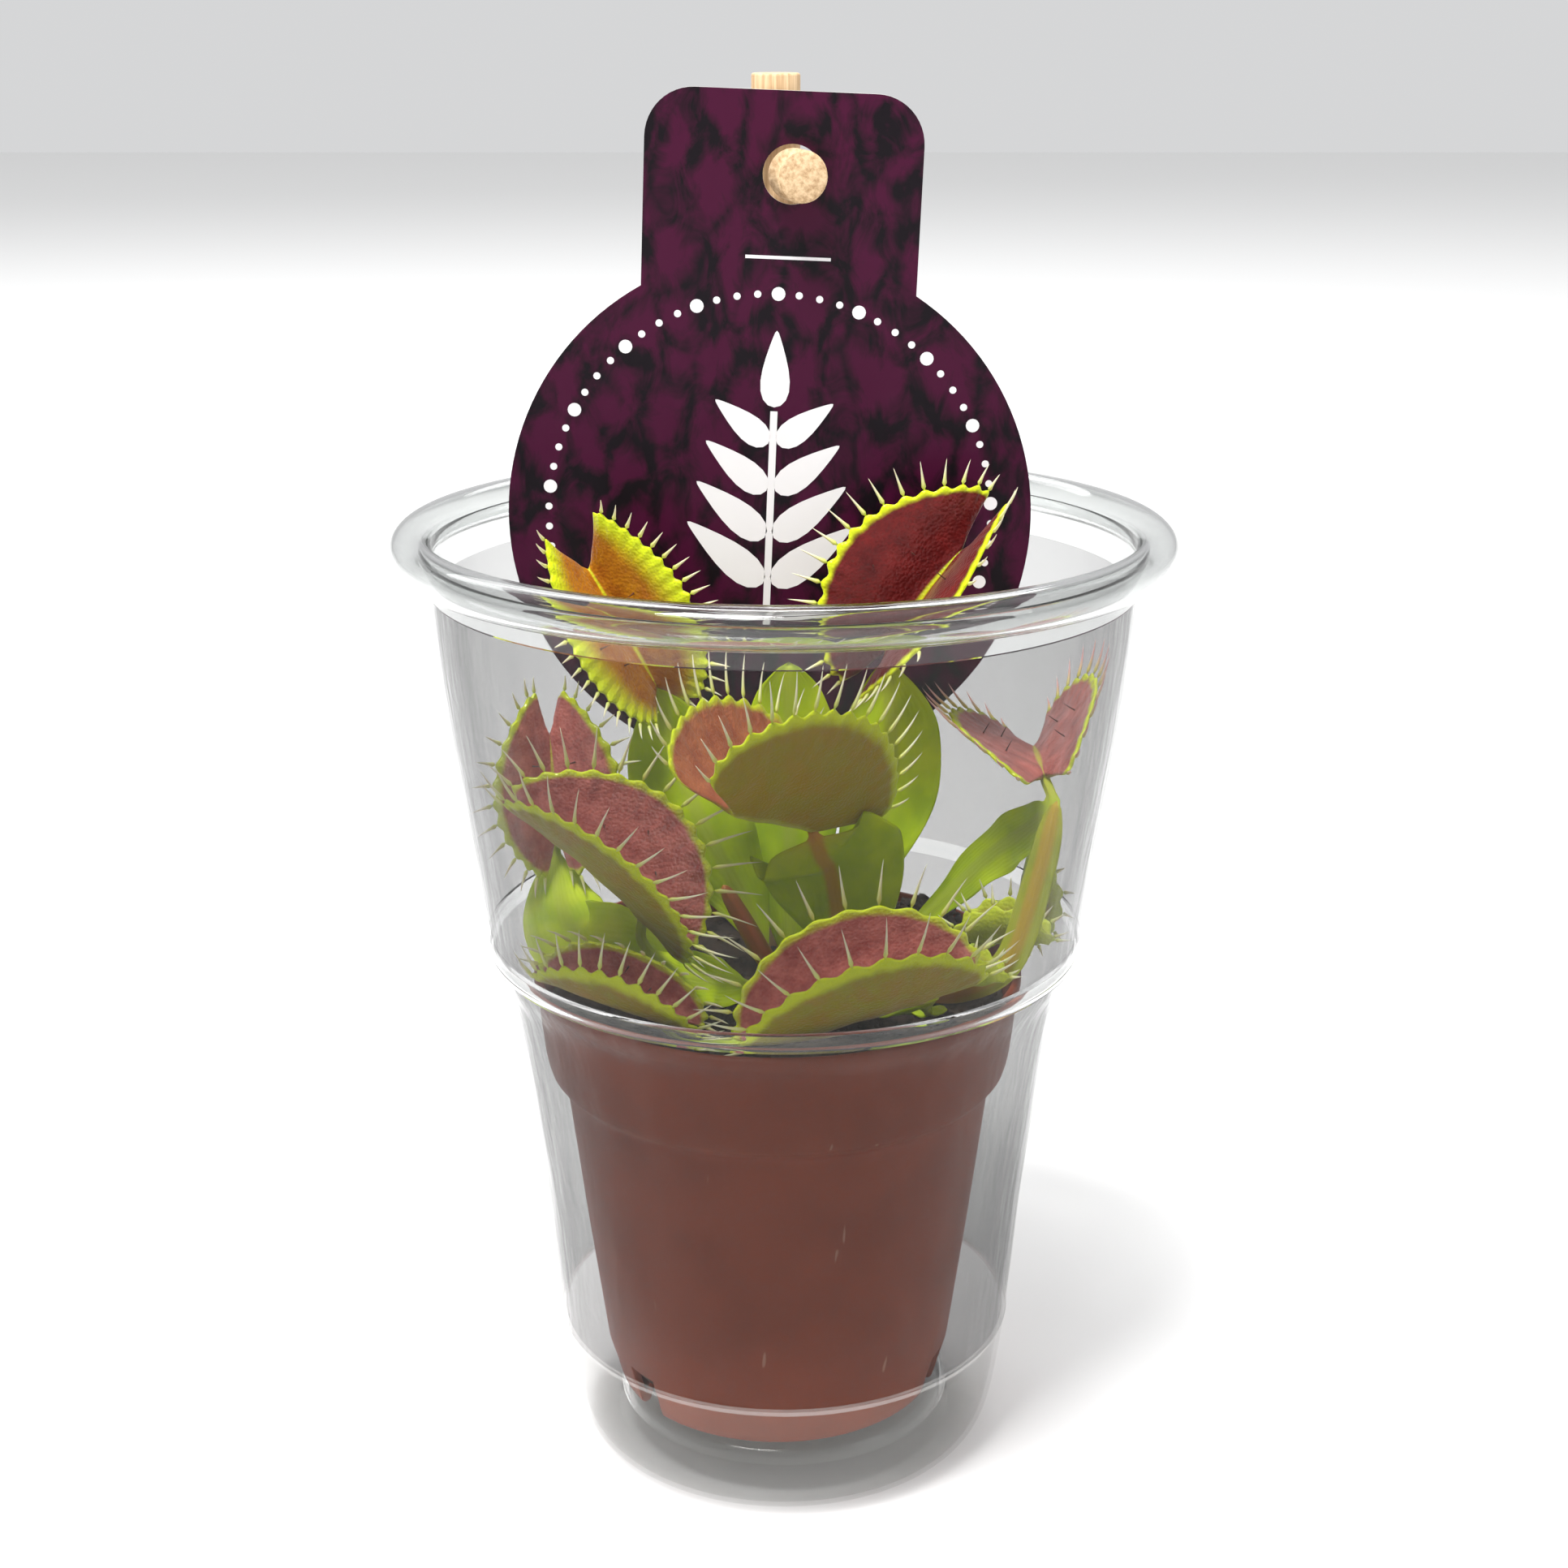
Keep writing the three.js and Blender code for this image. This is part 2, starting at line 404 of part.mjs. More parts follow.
// Every leaf of the rosette. root is [ring radius, direction in degrees] round the crown, path its
// middle points, face the way its upper side looks, wing its greatest half width, reached late or
// early by skew between from and to. heart draws the wings' ends forward, arch lifts their edges,
// and a low wingPower widens them at once. at is the middle of a trap's keel.
const leaves = {
  front: {
    root: [6, -62], path: [[7.5, -12, 62.9], [13.8, -17.6, 65]], face: [0, 0, 1],
    wing: 2.3, from: 0.35, to: 0.85, skew: 1.1, slim: true,
    trap: {
      at: [9.5, -23.9, 67.4], tip: [-0.97, -0.17, -0.24], mouth: [-0.2, -0.34, 1], keelLength: 14.5,
      reach: 13, opening: 21, curl: 20, fan: 80, tipEar: 0.42, stalkEar: 0.36, teeth: 13, toothLength: 6.3,
      droop: 0.6, toothTilt: 0.1, enter: [-0.5, -0.75, -0.6],
    },
  },
  left_front: {
    root: [6.3, -138], path: [[-8.5, -9, 65.2], [-13.4, -12.6, 67.6]], face: [0.2, -0.75, 0.65],
    wing: 3.8, from: 0.32, to: 0.84, skew: 0.9,
    trap: {
      at: [-21.5, -13.5, 80.8], tip: [-20, -1, 20], mouth: [0.63, -0.44, 0.62], keelLength: 15.5, reach: 12.5,
      opening: 29, curl: 12, fan: 74, tipEar: 0.45, stalkEar: 0.3, teeth: 17, toothLength: 6.5,
      droop: 2.6, toothTilt: 0.2,
    },
  },
  left: {
    root: [6.5, -172], path: [[-13, -5, 65.5], [-20, -10.5, 70], [-25.6, -9.7, 70.9]],
    face: [0.15, -0.8, 0.6], wing: 5.8, from: 0.28, to: 0.9, skew: 1.1,
    trap: {
      at: [-28.6, -1.6, 88.3], tip: [-0.05, 0.1, 1], mouth: [0.2, -1, 0.1], keelLength: 12.8,
      reach: 9.7, opening: 53, curl: -12, fan: 64, tipEar: 0.5, stalkEar: 0.28, teeth: 14, toothLength: 3.6,
      droop: 1, toothTilt: 0.2,
    },
  },
  back_left: {
    root: [3.4, 140], path: [[-4.8, 4.4, 70], [-10.8, 2.2, 83]], face: [0.1, -0.95, 0.3],
    wing: 7.2, from: 0.22, to: 0.95, skew: 1.3,
    trap: {
      at: [-19.8, 3, 107.2], tip: [-0.48, 0.05, 0.87], mouth: [0.24, -0.95, 0.25], keelLength: 17,
      reach: 10.8, opening: 45, curl: -8, fan: 41, tipEar: 0.86, stalkEar: 0.22, teeth: 18, toothLength: 3.5,
      droop: 1.2, toothTilt: 0.2,
    },
  },
  back_right: {
    root: [3.6, 30], path: [[9, 4, 73], [13.5, 3.5, 87]], face: [-0.25, -0.95, 0.3],
    wing: 6.6, from: 0.25, to: 0.95, skew: 1.5,
    trap: {
      at: [17, 4.8, 110.3], tip: [0.6, 0.1, 0.8], mouth: [-0.5, -0.75, 0.45], keelLength: 15.5,
      reach: 12.5, opening: 46, curl: -10, fan: 66, tipEar: 0.6, stalkEar: 0.3, teeth: 18, toothLength: 4,
      droop: 2, toothTilt: 0.2,
    },
  },
  centre: {
    root: [3, -60], path: [[6.4, -4, 68], [5.6, -8, 79.5]], face: [0, -1, 0.2],
    wing: 9.6, from: 0.34, to: 0.97, skew: 1.4, wingPower: 0.6, heart: 0.75, arch: -0.06, rows: 13,
    trap: {
      at: [-1, -15, 88.8], tip: [-0.66, -0.66, 0.36], mouth: [0.16, 0.3, 0.93], keelLength: 15,
      reach: 16.5, opening: 33, curl: 14, fan: 56, tipEar: 0.4, stalkEar: 0.5, teeth: 17, toothLength: 5.6,
      droop: 1.6, toothTilt: 0.2,
    },
  },
  right: {
    root: [7, 15], path: [[16, 4.2, 66.8], [25.5, 1, 77.5]], face: [-0.55, -0.7, 0.45],
    wing: 3.8, from: 0.35, to: 0.95, skew: 1.5,
    trap: {
      at: [31.6, 0.2, 91.3], tip: [0, 1, -0.03], mouth: [-0.26, 0.03, 0.97], keelLength: 12.6,
      reach: 12.4, opening: 47, curl: 8, fan: 58, tipEar: 0.5, stalkEar: 0.45, teeth: 13, toothLength: 4.6,
      droop: 1.4, toothTilt: 0.2,
    },
  },
  small_closed: {
    root: [7, -22], path: [[14, -2.6, 63.4], [21, -5, 65.8]], face: [0, 0, 1],
    wing: 2, from: 0.3, to: 0.9, skew: 1.3, slim: true,
    trap: {
      at: [27, -8, 70.7], tip: [0.95, -0.2, 0.05], mouth: [-0.1, 0.1, 1], keelLength: 6, reach: 5.4,
      opening: 18, curl: 24, fan: 76, tipEar: 0.45, stalkEar: 0.4, teeth: 7, toothLength: 2.8, droop: 0.8,
      toothTilt: 0.3,
    },
  },
  small_right: {
    root: [10.6, 12], path: [[18, 3.5, 63.5], [26, 2.4, 65.6]], face: [0, 0, 1],
    wing: 2.2, from: 0.3, to: 0.9, skew: 1.3, slim: true,
    trap: {
      at: [30.6, 0.8, 72], tip: [0.1, 0, 1], mouth: [0.7, -0.7, 0], keelLength: 7, reach: 4.9,
      opening: 30, curl: 16, fan: 70, tipEar: 0.45, stalkEar: 0.4, teeth: 7, toothLength: 1.8, droop: 0.6,
      toothTilt: 0.3,
    },
  },
  low_left: {
    root: [6.5, -105], path: [[-2.6, -13, 61.9], [-4.4, -20, 62.4]], face: [0, 0, 1],
    wing: 2.8, from: 0.25, to: 0.9, skew: 1.3, slim: true,
    trap: {
      at: [-19.6, -19.3, 67], tip: [-0.95, 0.3, 0.22], mouth: [0.1, -0.5, 1], keelLength: 13, reach: 7.8,
      opening: 12, curl: 34, fan: 78, tipEar: 0.4, stalkEar: 0.35, teeth: 14, toothLength: 4.5, droop: 0.8,
      toothTilt: 0.55,
    },
  },
  small_front: {
    root: [9.8, -49], path: [[12.6, -11, 62.6], [18.6, -15.2, 63.8]], face: [0, 0, 1],
    wing: 1.8, from: 0.3, to: 0.9, skew: 1.3, slim: true,
    trap: {
      at: [21.4, -17, 68.8], tip: [0.95, -0.12, 0.1], mouth: [-0.1, 0.1, 1], keelLength: 5.5, reach: 4.6,
      opening: 16, curl: 22, fan: 76, tipEar: 0.45, stalkEar: 0.4, teeth: 7, toothLength: 2.2, droop: 0.6,
      toothTilt: 0.3,
    },
  },
  young: {
    root: [10.6, -31],
    path: [[15.5, -7.6, 63], [22, -12, 65.4], [27, -15, 70], [30.4, -15.6, 81], [32.3, -15.6, 91]],
    face: [-0.5, -0.8, 0.2], wing: 2.3, from: 0.3, to: 1.12, skew: 1.1, rib: 2.6, heart: 0, slim: true,
  },
  red_shoot: {
    root: [2, -137], path: [[-3.6, -2.6, 68], [-7.6, -5, 76.5]], face: [0, -1, 0.3],
    wing: 1.5, from: 0.2, to: 1.1, skew: 1, rib: 2.4, heart: 0, slim: true,
  },
  back: {
    root: [4.2, 88], path: [[0.8, 8.8, 76], [0.8, 9.2, 90], [0.6, 8.6, 101.5]], face: [0, -1, 0.2],
    wing: 6.8, from: 0.2, to: 1.04, skew: 1.1,
  },
};

const stemHoles = [];
const potGroup = new THREE.Group();
potGroup.position.x = pot.aside;
object.add(potGroup);

function rootPoint(leaf) {
  const [ring, direction] = leaf.root;
  const angle = degrees(direction);
  return vec(crown.x + ring * Math.cos(angle), crown.y + ring * Math.sin(angle), soil.level);
}

function buildLeaf(name, leaf) {
  const root = rootPoint(leaf);
  const points = [
    root.clone().add(vec(0, 0, -crown.rootDepth)),
    root.clone().add(vec(0, 0, 1)),
    ...leaf.path.map((point) => vec(...point)),
  ];
  if (leaf.trap) {
    const matrix = trapMatrix(leaf.trap);
    const geometry = trapGeometry(leaf.trap);
    geometry.applyMatrix4(matrix);
    addMesh(`trap_${name}`, geometry, finishes.trap);
    const end = -leaf.trap.keelLength / 2;
    const drop = leaf.trap.droop * (end / (end - leaf.trap.reach * lobe.endReach)) ** 2;
    const joint = vec(end, 0, -drop - lobe.thickness / 2 - lobe.stalkGap);
    const enter = vec(...(leaf.trap.enter ?? lobe.enter)).normalize();
    points.push(joint.clone().addScaledVector(enter, lobe.enterLength).applyMatrix4(matrix));
    points.push(joint.applyMatrix4(matrix));
  }
  const path = new THREE.CatmullRomCurve3(points, false, 'centripetal');
  addMesh(`leaf_${name}`, bladeGeometry(leaf, path), finishes.leaf);
  const hole = rod(
    root.clone().add(vec(-pot.aside, 0, -crown.rootDepth - gap)),
    root.clone().add(vec(-pot.aside, 0, 4)),
    crown.holeRadius,
    crown.holeSides,
  );
  stemHoles.push(hole);
}

buildCup();
buildPot(potGroup);
for (const [name, leaf] of Object.entries(leaves)) buildLeaf(name, leaf);
const stickHole = rod(
  vec(stick.x - pot.aside, stick.y, stick.bottom - gap),
  vec(stick.x - pot.aside, stick.y, soil.level + soil.moundHeight + 4),
  stick.radius + soil.clearance,
  stick.sides,
);
buildSoil(potGroup, [...stemHoles, stickHole]);
buildStickAndPeg(buildCard());

export default object;
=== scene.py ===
import math
import random

import bmesh
import bpy
from mathutils import Matrix, Vector, noise


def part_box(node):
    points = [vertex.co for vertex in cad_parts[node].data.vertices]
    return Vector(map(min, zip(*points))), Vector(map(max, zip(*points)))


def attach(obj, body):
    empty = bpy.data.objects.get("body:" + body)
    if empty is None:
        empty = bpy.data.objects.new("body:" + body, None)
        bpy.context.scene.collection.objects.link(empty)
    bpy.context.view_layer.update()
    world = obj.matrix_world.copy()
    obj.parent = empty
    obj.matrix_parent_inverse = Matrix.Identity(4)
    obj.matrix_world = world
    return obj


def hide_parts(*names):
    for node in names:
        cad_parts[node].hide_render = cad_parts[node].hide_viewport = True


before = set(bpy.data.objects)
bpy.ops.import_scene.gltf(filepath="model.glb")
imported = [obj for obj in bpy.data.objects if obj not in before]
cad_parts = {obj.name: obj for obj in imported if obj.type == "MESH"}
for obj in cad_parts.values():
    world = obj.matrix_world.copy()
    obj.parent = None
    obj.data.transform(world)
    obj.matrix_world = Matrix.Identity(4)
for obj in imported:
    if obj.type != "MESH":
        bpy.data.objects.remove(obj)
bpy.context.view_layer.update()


# Camera, floor and light: a phone's view from a little above the rim, on a pale floor, under one
# wide soft light from above and the left, with a weaker one at the right and a strip behind.
camera = bpy.data.objects.new("camera", bpy.data.cameras.new("camera"))
camera.data.lens = 55.9
camera.data.sensor_width = 36
camera.location = (0, -0.2891, 0.1802)
look_down = 17.68
camera.rotation_euler = (math.radians(90 - look_down), 0, 0)
bpy.context.collection.objects.link(camera)
bpy.context.scene.camera = camera
bpy.context.scene.view_settings.view_transform = "Standard"


def new_material(name, inputs):
    """A material with numbers on its shader, and its node tree."""
    made = bpy.data.materials.new(name)
    made.use_nodes = True
    shader = made.node_tree.nodes["Principled BSDF"]
    for key, value in inputs.items():
        shader.inputs[key].default_value = value
    return made, made.node_tree, shader


floor_size = 3
floor_bm = bmesh.new()
bmesh.ops.create_grid(floor_bm, x_segments=1, y_segments=1, size=floor_size)
floor_mesh = bpy.data.meshes.new("floor")
floor_bm.to_mesh(floor_mesh)
floor = bpy.data.objects.new("floor", floor_mesh)
bpy.context.collection.objects.link(floor)
floor_paint, _, _ = new_material("floor_paint", {"Base Color": (0.87, 0.87, 0.865, 1), "Roughness": 0.7})
floor_mesh.materials.append(floor_paint)

world = bpy.data.worlds.new("studio")
world.use_nodes = True
world.node_tree.nodes["Background"].inputs["Color"].default_value = (0.985, 0.99, 1, 1)
world.node_tree.nodes["Background"].inputs["Strength"].default_value = 0.68
bpy.context.scene.world = world
plant_middle = Vector((0, 0, 0.09))


def add_light(name, place, size, watts):
    """An area light that looks at the middle of the plant."""
    made = bpy.data.objects.new(name, bpy.data.lights.new(name, "AREA"))
    made.data.shape = "RECTANGLE"
    made.data.size, made.data.size_y = size
    made.data.energy = watts
    made.location = place
    made.rotation_euler = (plant_middle - Vector(place)).to_track_quat("-Z", "Y").to_euler()
    bpy.context.collection.objects.link(made)


add_light("soft_top", (-0.3, -0.42, 1.4), (0.5, 0.4), 31.5)
add_light("side_fill", (0.9, -0.5, 0.5), (0.4, 0.8), 1.6)
add_light("back_strip", (-0.3, 1.1, 1.2), (1.6, 0.5), 9)


# Clear cup: one thin sheet of clear plastic, drawn over a mould. The foot is rounded, the base is
# pushed up inside, a shoulder lets cups stack, and the lip is rolled outwards and down.
MM = 0.001
_, cup_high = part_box("cup")
cup_height = cup_high[2]
rim_radius = cup_high[0]
sheet_thickness = 0.6 * MM
bead_outside = 2.6 * MM
bead_radius = bead_outside - sheet_thickness / 2
bead_open_end = 0.7 * MM
cup_sides = 48


def in_metres(profile):
    """The places of a side line's points, each given as its radius and height in millimetres."""
    return [Vector((radius * MM, 0, height * MM)) for radius, height in profile]


cup_side = in_metres([
    [0, 6.4], [12, 6.4], [20.2, 6.4], [21.2, 6.1], [21.6, 4.8], [21.7, 1.4], [22, 0.45], [23, 0.3],
    [25.2, 0.7], [27, 3], [27.9, 7], [28.6, 12], [28.95, 15], [29.1, 16.6], [29.4, 17], [29.2, 17.5],
    [29.4, 20], [30, 26], [30.6, 35], [33.1, 54], [34, 60], [34.6, 63.4], [35.6, 65.4], [36.5, 67],
    [36.8, 68], [37.15, 68.6], [36.95, 69.3], [37.05, 70.2], [37.4, 70.8], [37.3, 71.6], [37.5, 74],
    [39.3, 86], [41.2, 99.5], [42.2, 109], [42.5, 114],
])
bead_middle = Vector((rim_radius - bead_radius - sheet_thickness / 2, 0, cup_height - bead_outside))
for degrees in range(180, -181, -30):
    angle = math.radians(degrees)
    cup_side.append(bead_middle + bead_radius * Vector((math.cos(angle), 0, math.sin(angle))))
cup_side[-1].x += bead_open_end


def turn(bm, profile, steps):
    """Spins a line of points round the Z axis into a closed ring of faces that look outwards."""
    points = [bm.verts.new(point) for point in profile]
    edges = [bm.edges.new(pair) for pair in zip(points, points[1:])]
    bmesh.ops.spin(bm, geom=points + edges, axis=(0, 0, 1), cent=(0, 0, 0), dvec=(0, 0, 0),
                   angle=2 * math.pi, steps=steps, use_merge=True, use_duplicate=False)
    bmesh.ops.remove_doubles(bm, verts=bm.verts, dist=0.001 * MM)
    bmesh.ops.recalc_face_normals(bm, faces=bm.faces)
    widest = max(bm.faces, key=lambda face: face.calc_center_median().xy.length)
    if widest.normal.xy.dot(widest.calc_center_median().xy) < 0:
        bmesh.ops.reverse_faces(bm, faces=bm.faces)


def add_piece(name, bm, materials, slot, *nodes):
    """Makes a smooth shaded piece from a bmesh, in place of the CAD nodes that it stands for."""
    mesh = bpy.data.meshes.new(name)
    bm.to_mesh(mesh)
    bm.free()
    mesh.shade_smooth()
    for material in materials:
        mesh.materials.append(material)
    piece = bpy.data.objects.new(name, mesh)
    bpy.context.collection.objects.link(piece)
    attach(piece, "root")
    if nodes:
        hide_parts(*nodes)
    return piece


def add_node(tree, kind, inputs=None, **settings):
    """Adds a shader node, with its settings and with numbers or links on its inputs."""
    made = tree.nodes.new("ShaderNode" + kind)
    for key, value in settings.items():
        setattr(made, key, value)
    for key, value in (inputs or {}).items():
        if isinstance(value, bpy.types.NodeSocket):
            tree.links.new(value, made.inputs[key])
        else:
            made.inputs[key].default_value = value
    return made


def number(tree, operation, *values):
    """A sum on numbers or links."""
    return add_node(tree, "Math", dict(enumerate(values)), operation=operation).outputs["Value"]


def cloudy(tree, place, scale, detail, roughness=0.5, distortion=0.0):
    """Noise between 0 and 1, finer with a larger scale."""
    made = add_node(tree, "TexNoise", {"Vector": place, "Scale": scale, "Detail": detail,
                                       "Roughness": roughness, "Distortion": distortion})
    return made.outputs["Fac"]


def object_place(tree, scale=None, turned=(0, 0, 0)):
    """Places on the object, drawn out along an axis where its scale is small."""
    place = add_node(tree, "TexCoord").outputs["Object"]
    if scale is None:
        return place
    made = add_node(tree, "Mapping", {"Vector": place, "Rotation": turned, "Scale": scale})
    return made.outputs["Vector"]


def add_relief(tree, shader, height, strength, depth):
    """Fine relief on a surface, from a height between 0 and 1 and its depth in metres."""
    made = add_node(tree, "Bump", {"Height": height, "Strength": strength, "Distance": depth})
    tree.links.new(made.outputs["Normal"], shader.inputs["Normal"])


clear_bends, _, _ = new_material("clear_bends", {
    "Base Color": (0.8, 0.81, 0.805, 1), "Roughness": 0.03, "IOR": 1.4, "Transmission Weight": 1.0})
clear_wall, tree, shader = new_material("clear_wall", {
    "Base Color": (0.004, 0.004, 0.004, 1), "Roughness": 0.07, "Specular IOR Level": 0.42})
slant = add_node(tree, "LayerWeight", {"Blend": 0.5}).outputs["Facing"]
edge_gloss = number(tree, "MULTIPLY_ADD", number(tree, "POWER", slant, 3.0), 0.35, 0.255)
tree.links.new(edge_gloss, shader.inputs["Alpha"])
flow = cloudy(tree, object_place(tree, (1, 1, 0.22)), 150, 3)
add_relief(tree, shader, flow, 0.5, 0.0016)
# Painted light: a pale layer on the base under the pot lifts the shade there, and the same pale layer on a
# thin band at the foot's ring is a painted highlight.
painted_light_base, _, _ = new_material("painted_light_base", {
    "Base Color": (0.6, 0.59, 0.57, 1), "Roughness": 0.1, "Alpha": 0.36})
# Painted light: the foot gets a paler, clearer layer than the wall's, which lightens the shade that falls
# in it.
painted_light_foot, _, _ = new_material("painted_light_foot", {
    "Base Color": (0.22, 0.215, 0.2, 1), "Roughness": 0.08, "Alpha": 0.14})
bend_heights = ((67.6, 70.2), (113, 122))
ring_heights = (16.7, 17.1)
base_edge_radii = (20.3, 21.7)
base_edge_heights = (4.9, 7)
WALL, BENDS, BASE, FOOT = range(4)
cup_bm = bmesh.new()
turn(cup_bm, cup_side, cup_sides)
for face in cup_bm.faces:
    middle = face.calc_center_median() / MM
    radius = middle.xy.length
    on_base_edge = (base_edge_radii[0] < radius < base_edge_radii[1]
                    and base_edge_heights[0] < middle.z < base_edge_heights[1])
    if on_base_edge or any(low < middle.z < high for low, high in bend_heights):
        face.material_index = BENDS
    # The base and the thin ring band take the pale layer of painted light.
    elif radius < base_edge_radii[0] or ring_heights[0] < middle.z < ring_heights[1]:
        face.material_index = BASE
    elif middle.z < ring_heights[0]:
        face.material_index = FOOT
    else:
        face.material_index = WALL
clear_cup = add_piece("clear_cup", cup_bm, [clear_wall, clear_bends, painted_light_base, painted_light_foot],
                      "clear_plastic", "cup")
wall = clear_cup.modifiers.new("wall", "SOLIDIFY")
wall.thickness = sheet_thickness
wall.offset = 0
smooth = clear_cup.modifiers.new("smooth", "SUBSURF")
smooth.levels = smooth.render_levels = 2


# Nursery pot: thin brown plastic, moulded with a deep collar and a narrow foot ring, and three slots
# through its bottom corner for the water. Its skin is a little worn, with pale scratches and flecks.
pot_low, pot_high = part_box("pot")
pot_x = (pot_low[0] + pot_high[0]) / 2
pot_wall = 0.9 * MM
pot_sides = 120
pot_side = [
    [0, 9.8], [10, 9.8], [18.4, 9.8], [19, 9.5], [19.7, 7.4], [19.95, 7.12], [20.6, 7.12], [20.95, 7.4],
    [21.3, 8.4], [21.7, 10], [22.6, 13], [25, 31], [27.1, 48.2], [27.45, 49.6], [27.8, 50.3], [28.6, 50.9],
    [29.2, 51.7], [29.5, 52.7], [29.75, 54], [30.2, 58], [30.5, 61.5], [30.6, 62.3], [30.85, 62.6],
    [30.95, 63], [30.95, 64], [30.6, 64.35], [30.1, 64.4],
]
drain_turns = [-21, 99, 219]
drain_half_angle = 6.2
drain_low, drain_high = 7 * MM, 12 * MM
drain_inner = 18.6 * MM
pot_bm = bmesh.new()
turn(pot_bm, in_metres(pot_side), pot_sides)
slot_faces = []
for face in pot_bm.faces:
    middle = face.calc_center_median()
    direction = math.degrees(math.atan2(middle.y, middle.x))
    nearest = min(abs((direction - turn_angle + 180) % 360 - 180) for turn_angle in drain_turns)
    if (nearest < drain_half_angle and drain_low < middle.z < drain_high
            and middle.xy.length > drain_inner):
        slot_faces.append(face)
bmesh.ops.delete(pot_bm, geom=slot_faces, context="FACES")
bmesh.ops.translate(pot_bm, verts=pot_bm.verts, vec=(pot_x, 0, 0))


def two_tones(tree, value, low, at_low, high, at_high):
    """A colour that goes from at_low to at_high while the value goes from low to high."""
    made = add_node(tree, "ValToRGB", {"Fac": value})
    for stop, position, colour in zip(made.color_ramp.elements, (low, high), (at_low, at_high)):
        stop.position = position
        stop.color = (*colour, 1)
    return made.outputs["Color"]


def remapped(tree, value, low, high, at_low, at_high, kind="LINEAR"):
    """A number that goes from at_low to at_high while the value goes from low to high."""
    made = add_node(tree, "MapRange", {"Value": value, "From Min": low, "From Max": high,
                                       "To Min": at_low, "To Max": at_high}, interpolation_type=kind)
    return made.outputs["Result"]


def blended(tree, share, under, over):
    """A linked colour with a share of another over it, which is linked or has three numbers."""
    if not isinstance(over, bpy.types.NodeSocket):
        over = (*over, 1)
    return add_node(tree, "Mix", {"Factor": share, 6: under, 7: over}, data_type="RGBA").outputs[2]


def finish_skin(tree, shader, colour, *relief):
    """Links a shader's colour and, where it is given, its relief as for add_relief."""
    tree.links.new(colour, shader.inputs["Base Color"])
    if relief:
        add_relief(tree, shader, *relief)


pot_plastic, tree, shader = new_material("pot_plastic", {"Roughness": 0.45, "Specular IOR Level": 0.2})
place = object_place(tree)
clay = two_tones(tree, cloudy(tree, place, 90, 4, 0.6), 0.3, (0.205, 0.038, 0.013),
                 0.72, (0.27, 0.052, 0.019))
streaks = cloudy(tree, object_place(tree, (1, 1, 0.12), (0.5, 0.3, 0)), 900, 1)
flecks = add_node(tree, "TexVoronoi", {"Vector": place, "Scale": 420, "Randomness": 1})
worn = number(tree, "MAXIMUM", remapped(tree, streaks, 0.76, 0.8, 0.0, 0.55),
              remapped(tree, flecks.outputs["Distance"], 0.055, 0.035, 0.0, 0.35))
finish_skin(tree, shader, blended(tree, worn, clay, (0.45, 0.24, 0.17)),
            cloudy(tree, place, 2600, 2), 0.03, 0.00006)
nursery_pot = add_piece("nursery_pot", pot_bm, [pot_plastic], "pot_plastic", "pot")
wall = nursery_pot.modifiers.new("wall", "SOLIDIFY")
wall.thickness = pot_wall
wall.offset = -1
wall.use_even_offset = True
edges = nursery_pot.modifiers.new("edges", "BEVEL")
edges.width = 0.2 * MM
edges.segments = 2
edges.limit_method = "ANGLE"
edges.angle_limit = math.radians(50)


# Peat: the damp, crumbly block that the roots are in, heaped at the back right. It is one turned
# body with a rough top, and loose crumbs of peat lie on it.
soil_level = 60 * MM
soil_edge = 28.8
soil_rings = 46
soil_sides = 110
soil_reach = 28.9 * MM
edge_fade = 2 * MM
mound_place = Vector((20, 15)) * MM
mound_height = 7.5
mound_spread = 7
soil_side = [
    [0, 10.9], [12, 10.9], [20.8, 10.9], [22.5, 20], [25.6, 45], [27, 50.8], [28.4, 53.4], [29, 58.2],
]
soil_side += [[soil_edge - soil_edge * step / soil_rings, 60] for step in range(soil_rings + 1)]


def soil_height(x, y):
    """Height of the peat's top at a place in the pot."""
    x, y = x / MM, y / MM
    ripple = math.sin(x * 0.61 + 1.3) * math.cos(y * 0.53 - 0.4) + 0.6 * math.sin(x * 0.23 - y * 0.41)
    away = math.hypot(x - mound_place.x / MM, (y - mound_place.y / MM) * 1.2)
    heap = mound_height * math.exp(-((away / mound_spread) ** 2))
    clods = noise.fractal(Vector((x, y, 0)) * 0.45, 0.9, 2.1, 4) * 0.9
    clods += noise.fractal(Vector((x, y, 9)) * 1.7, 0.9, 2.1, 3) * 0.3
    return soil_level + (0.7 * ripple + heap + clods - 0.3) * MM


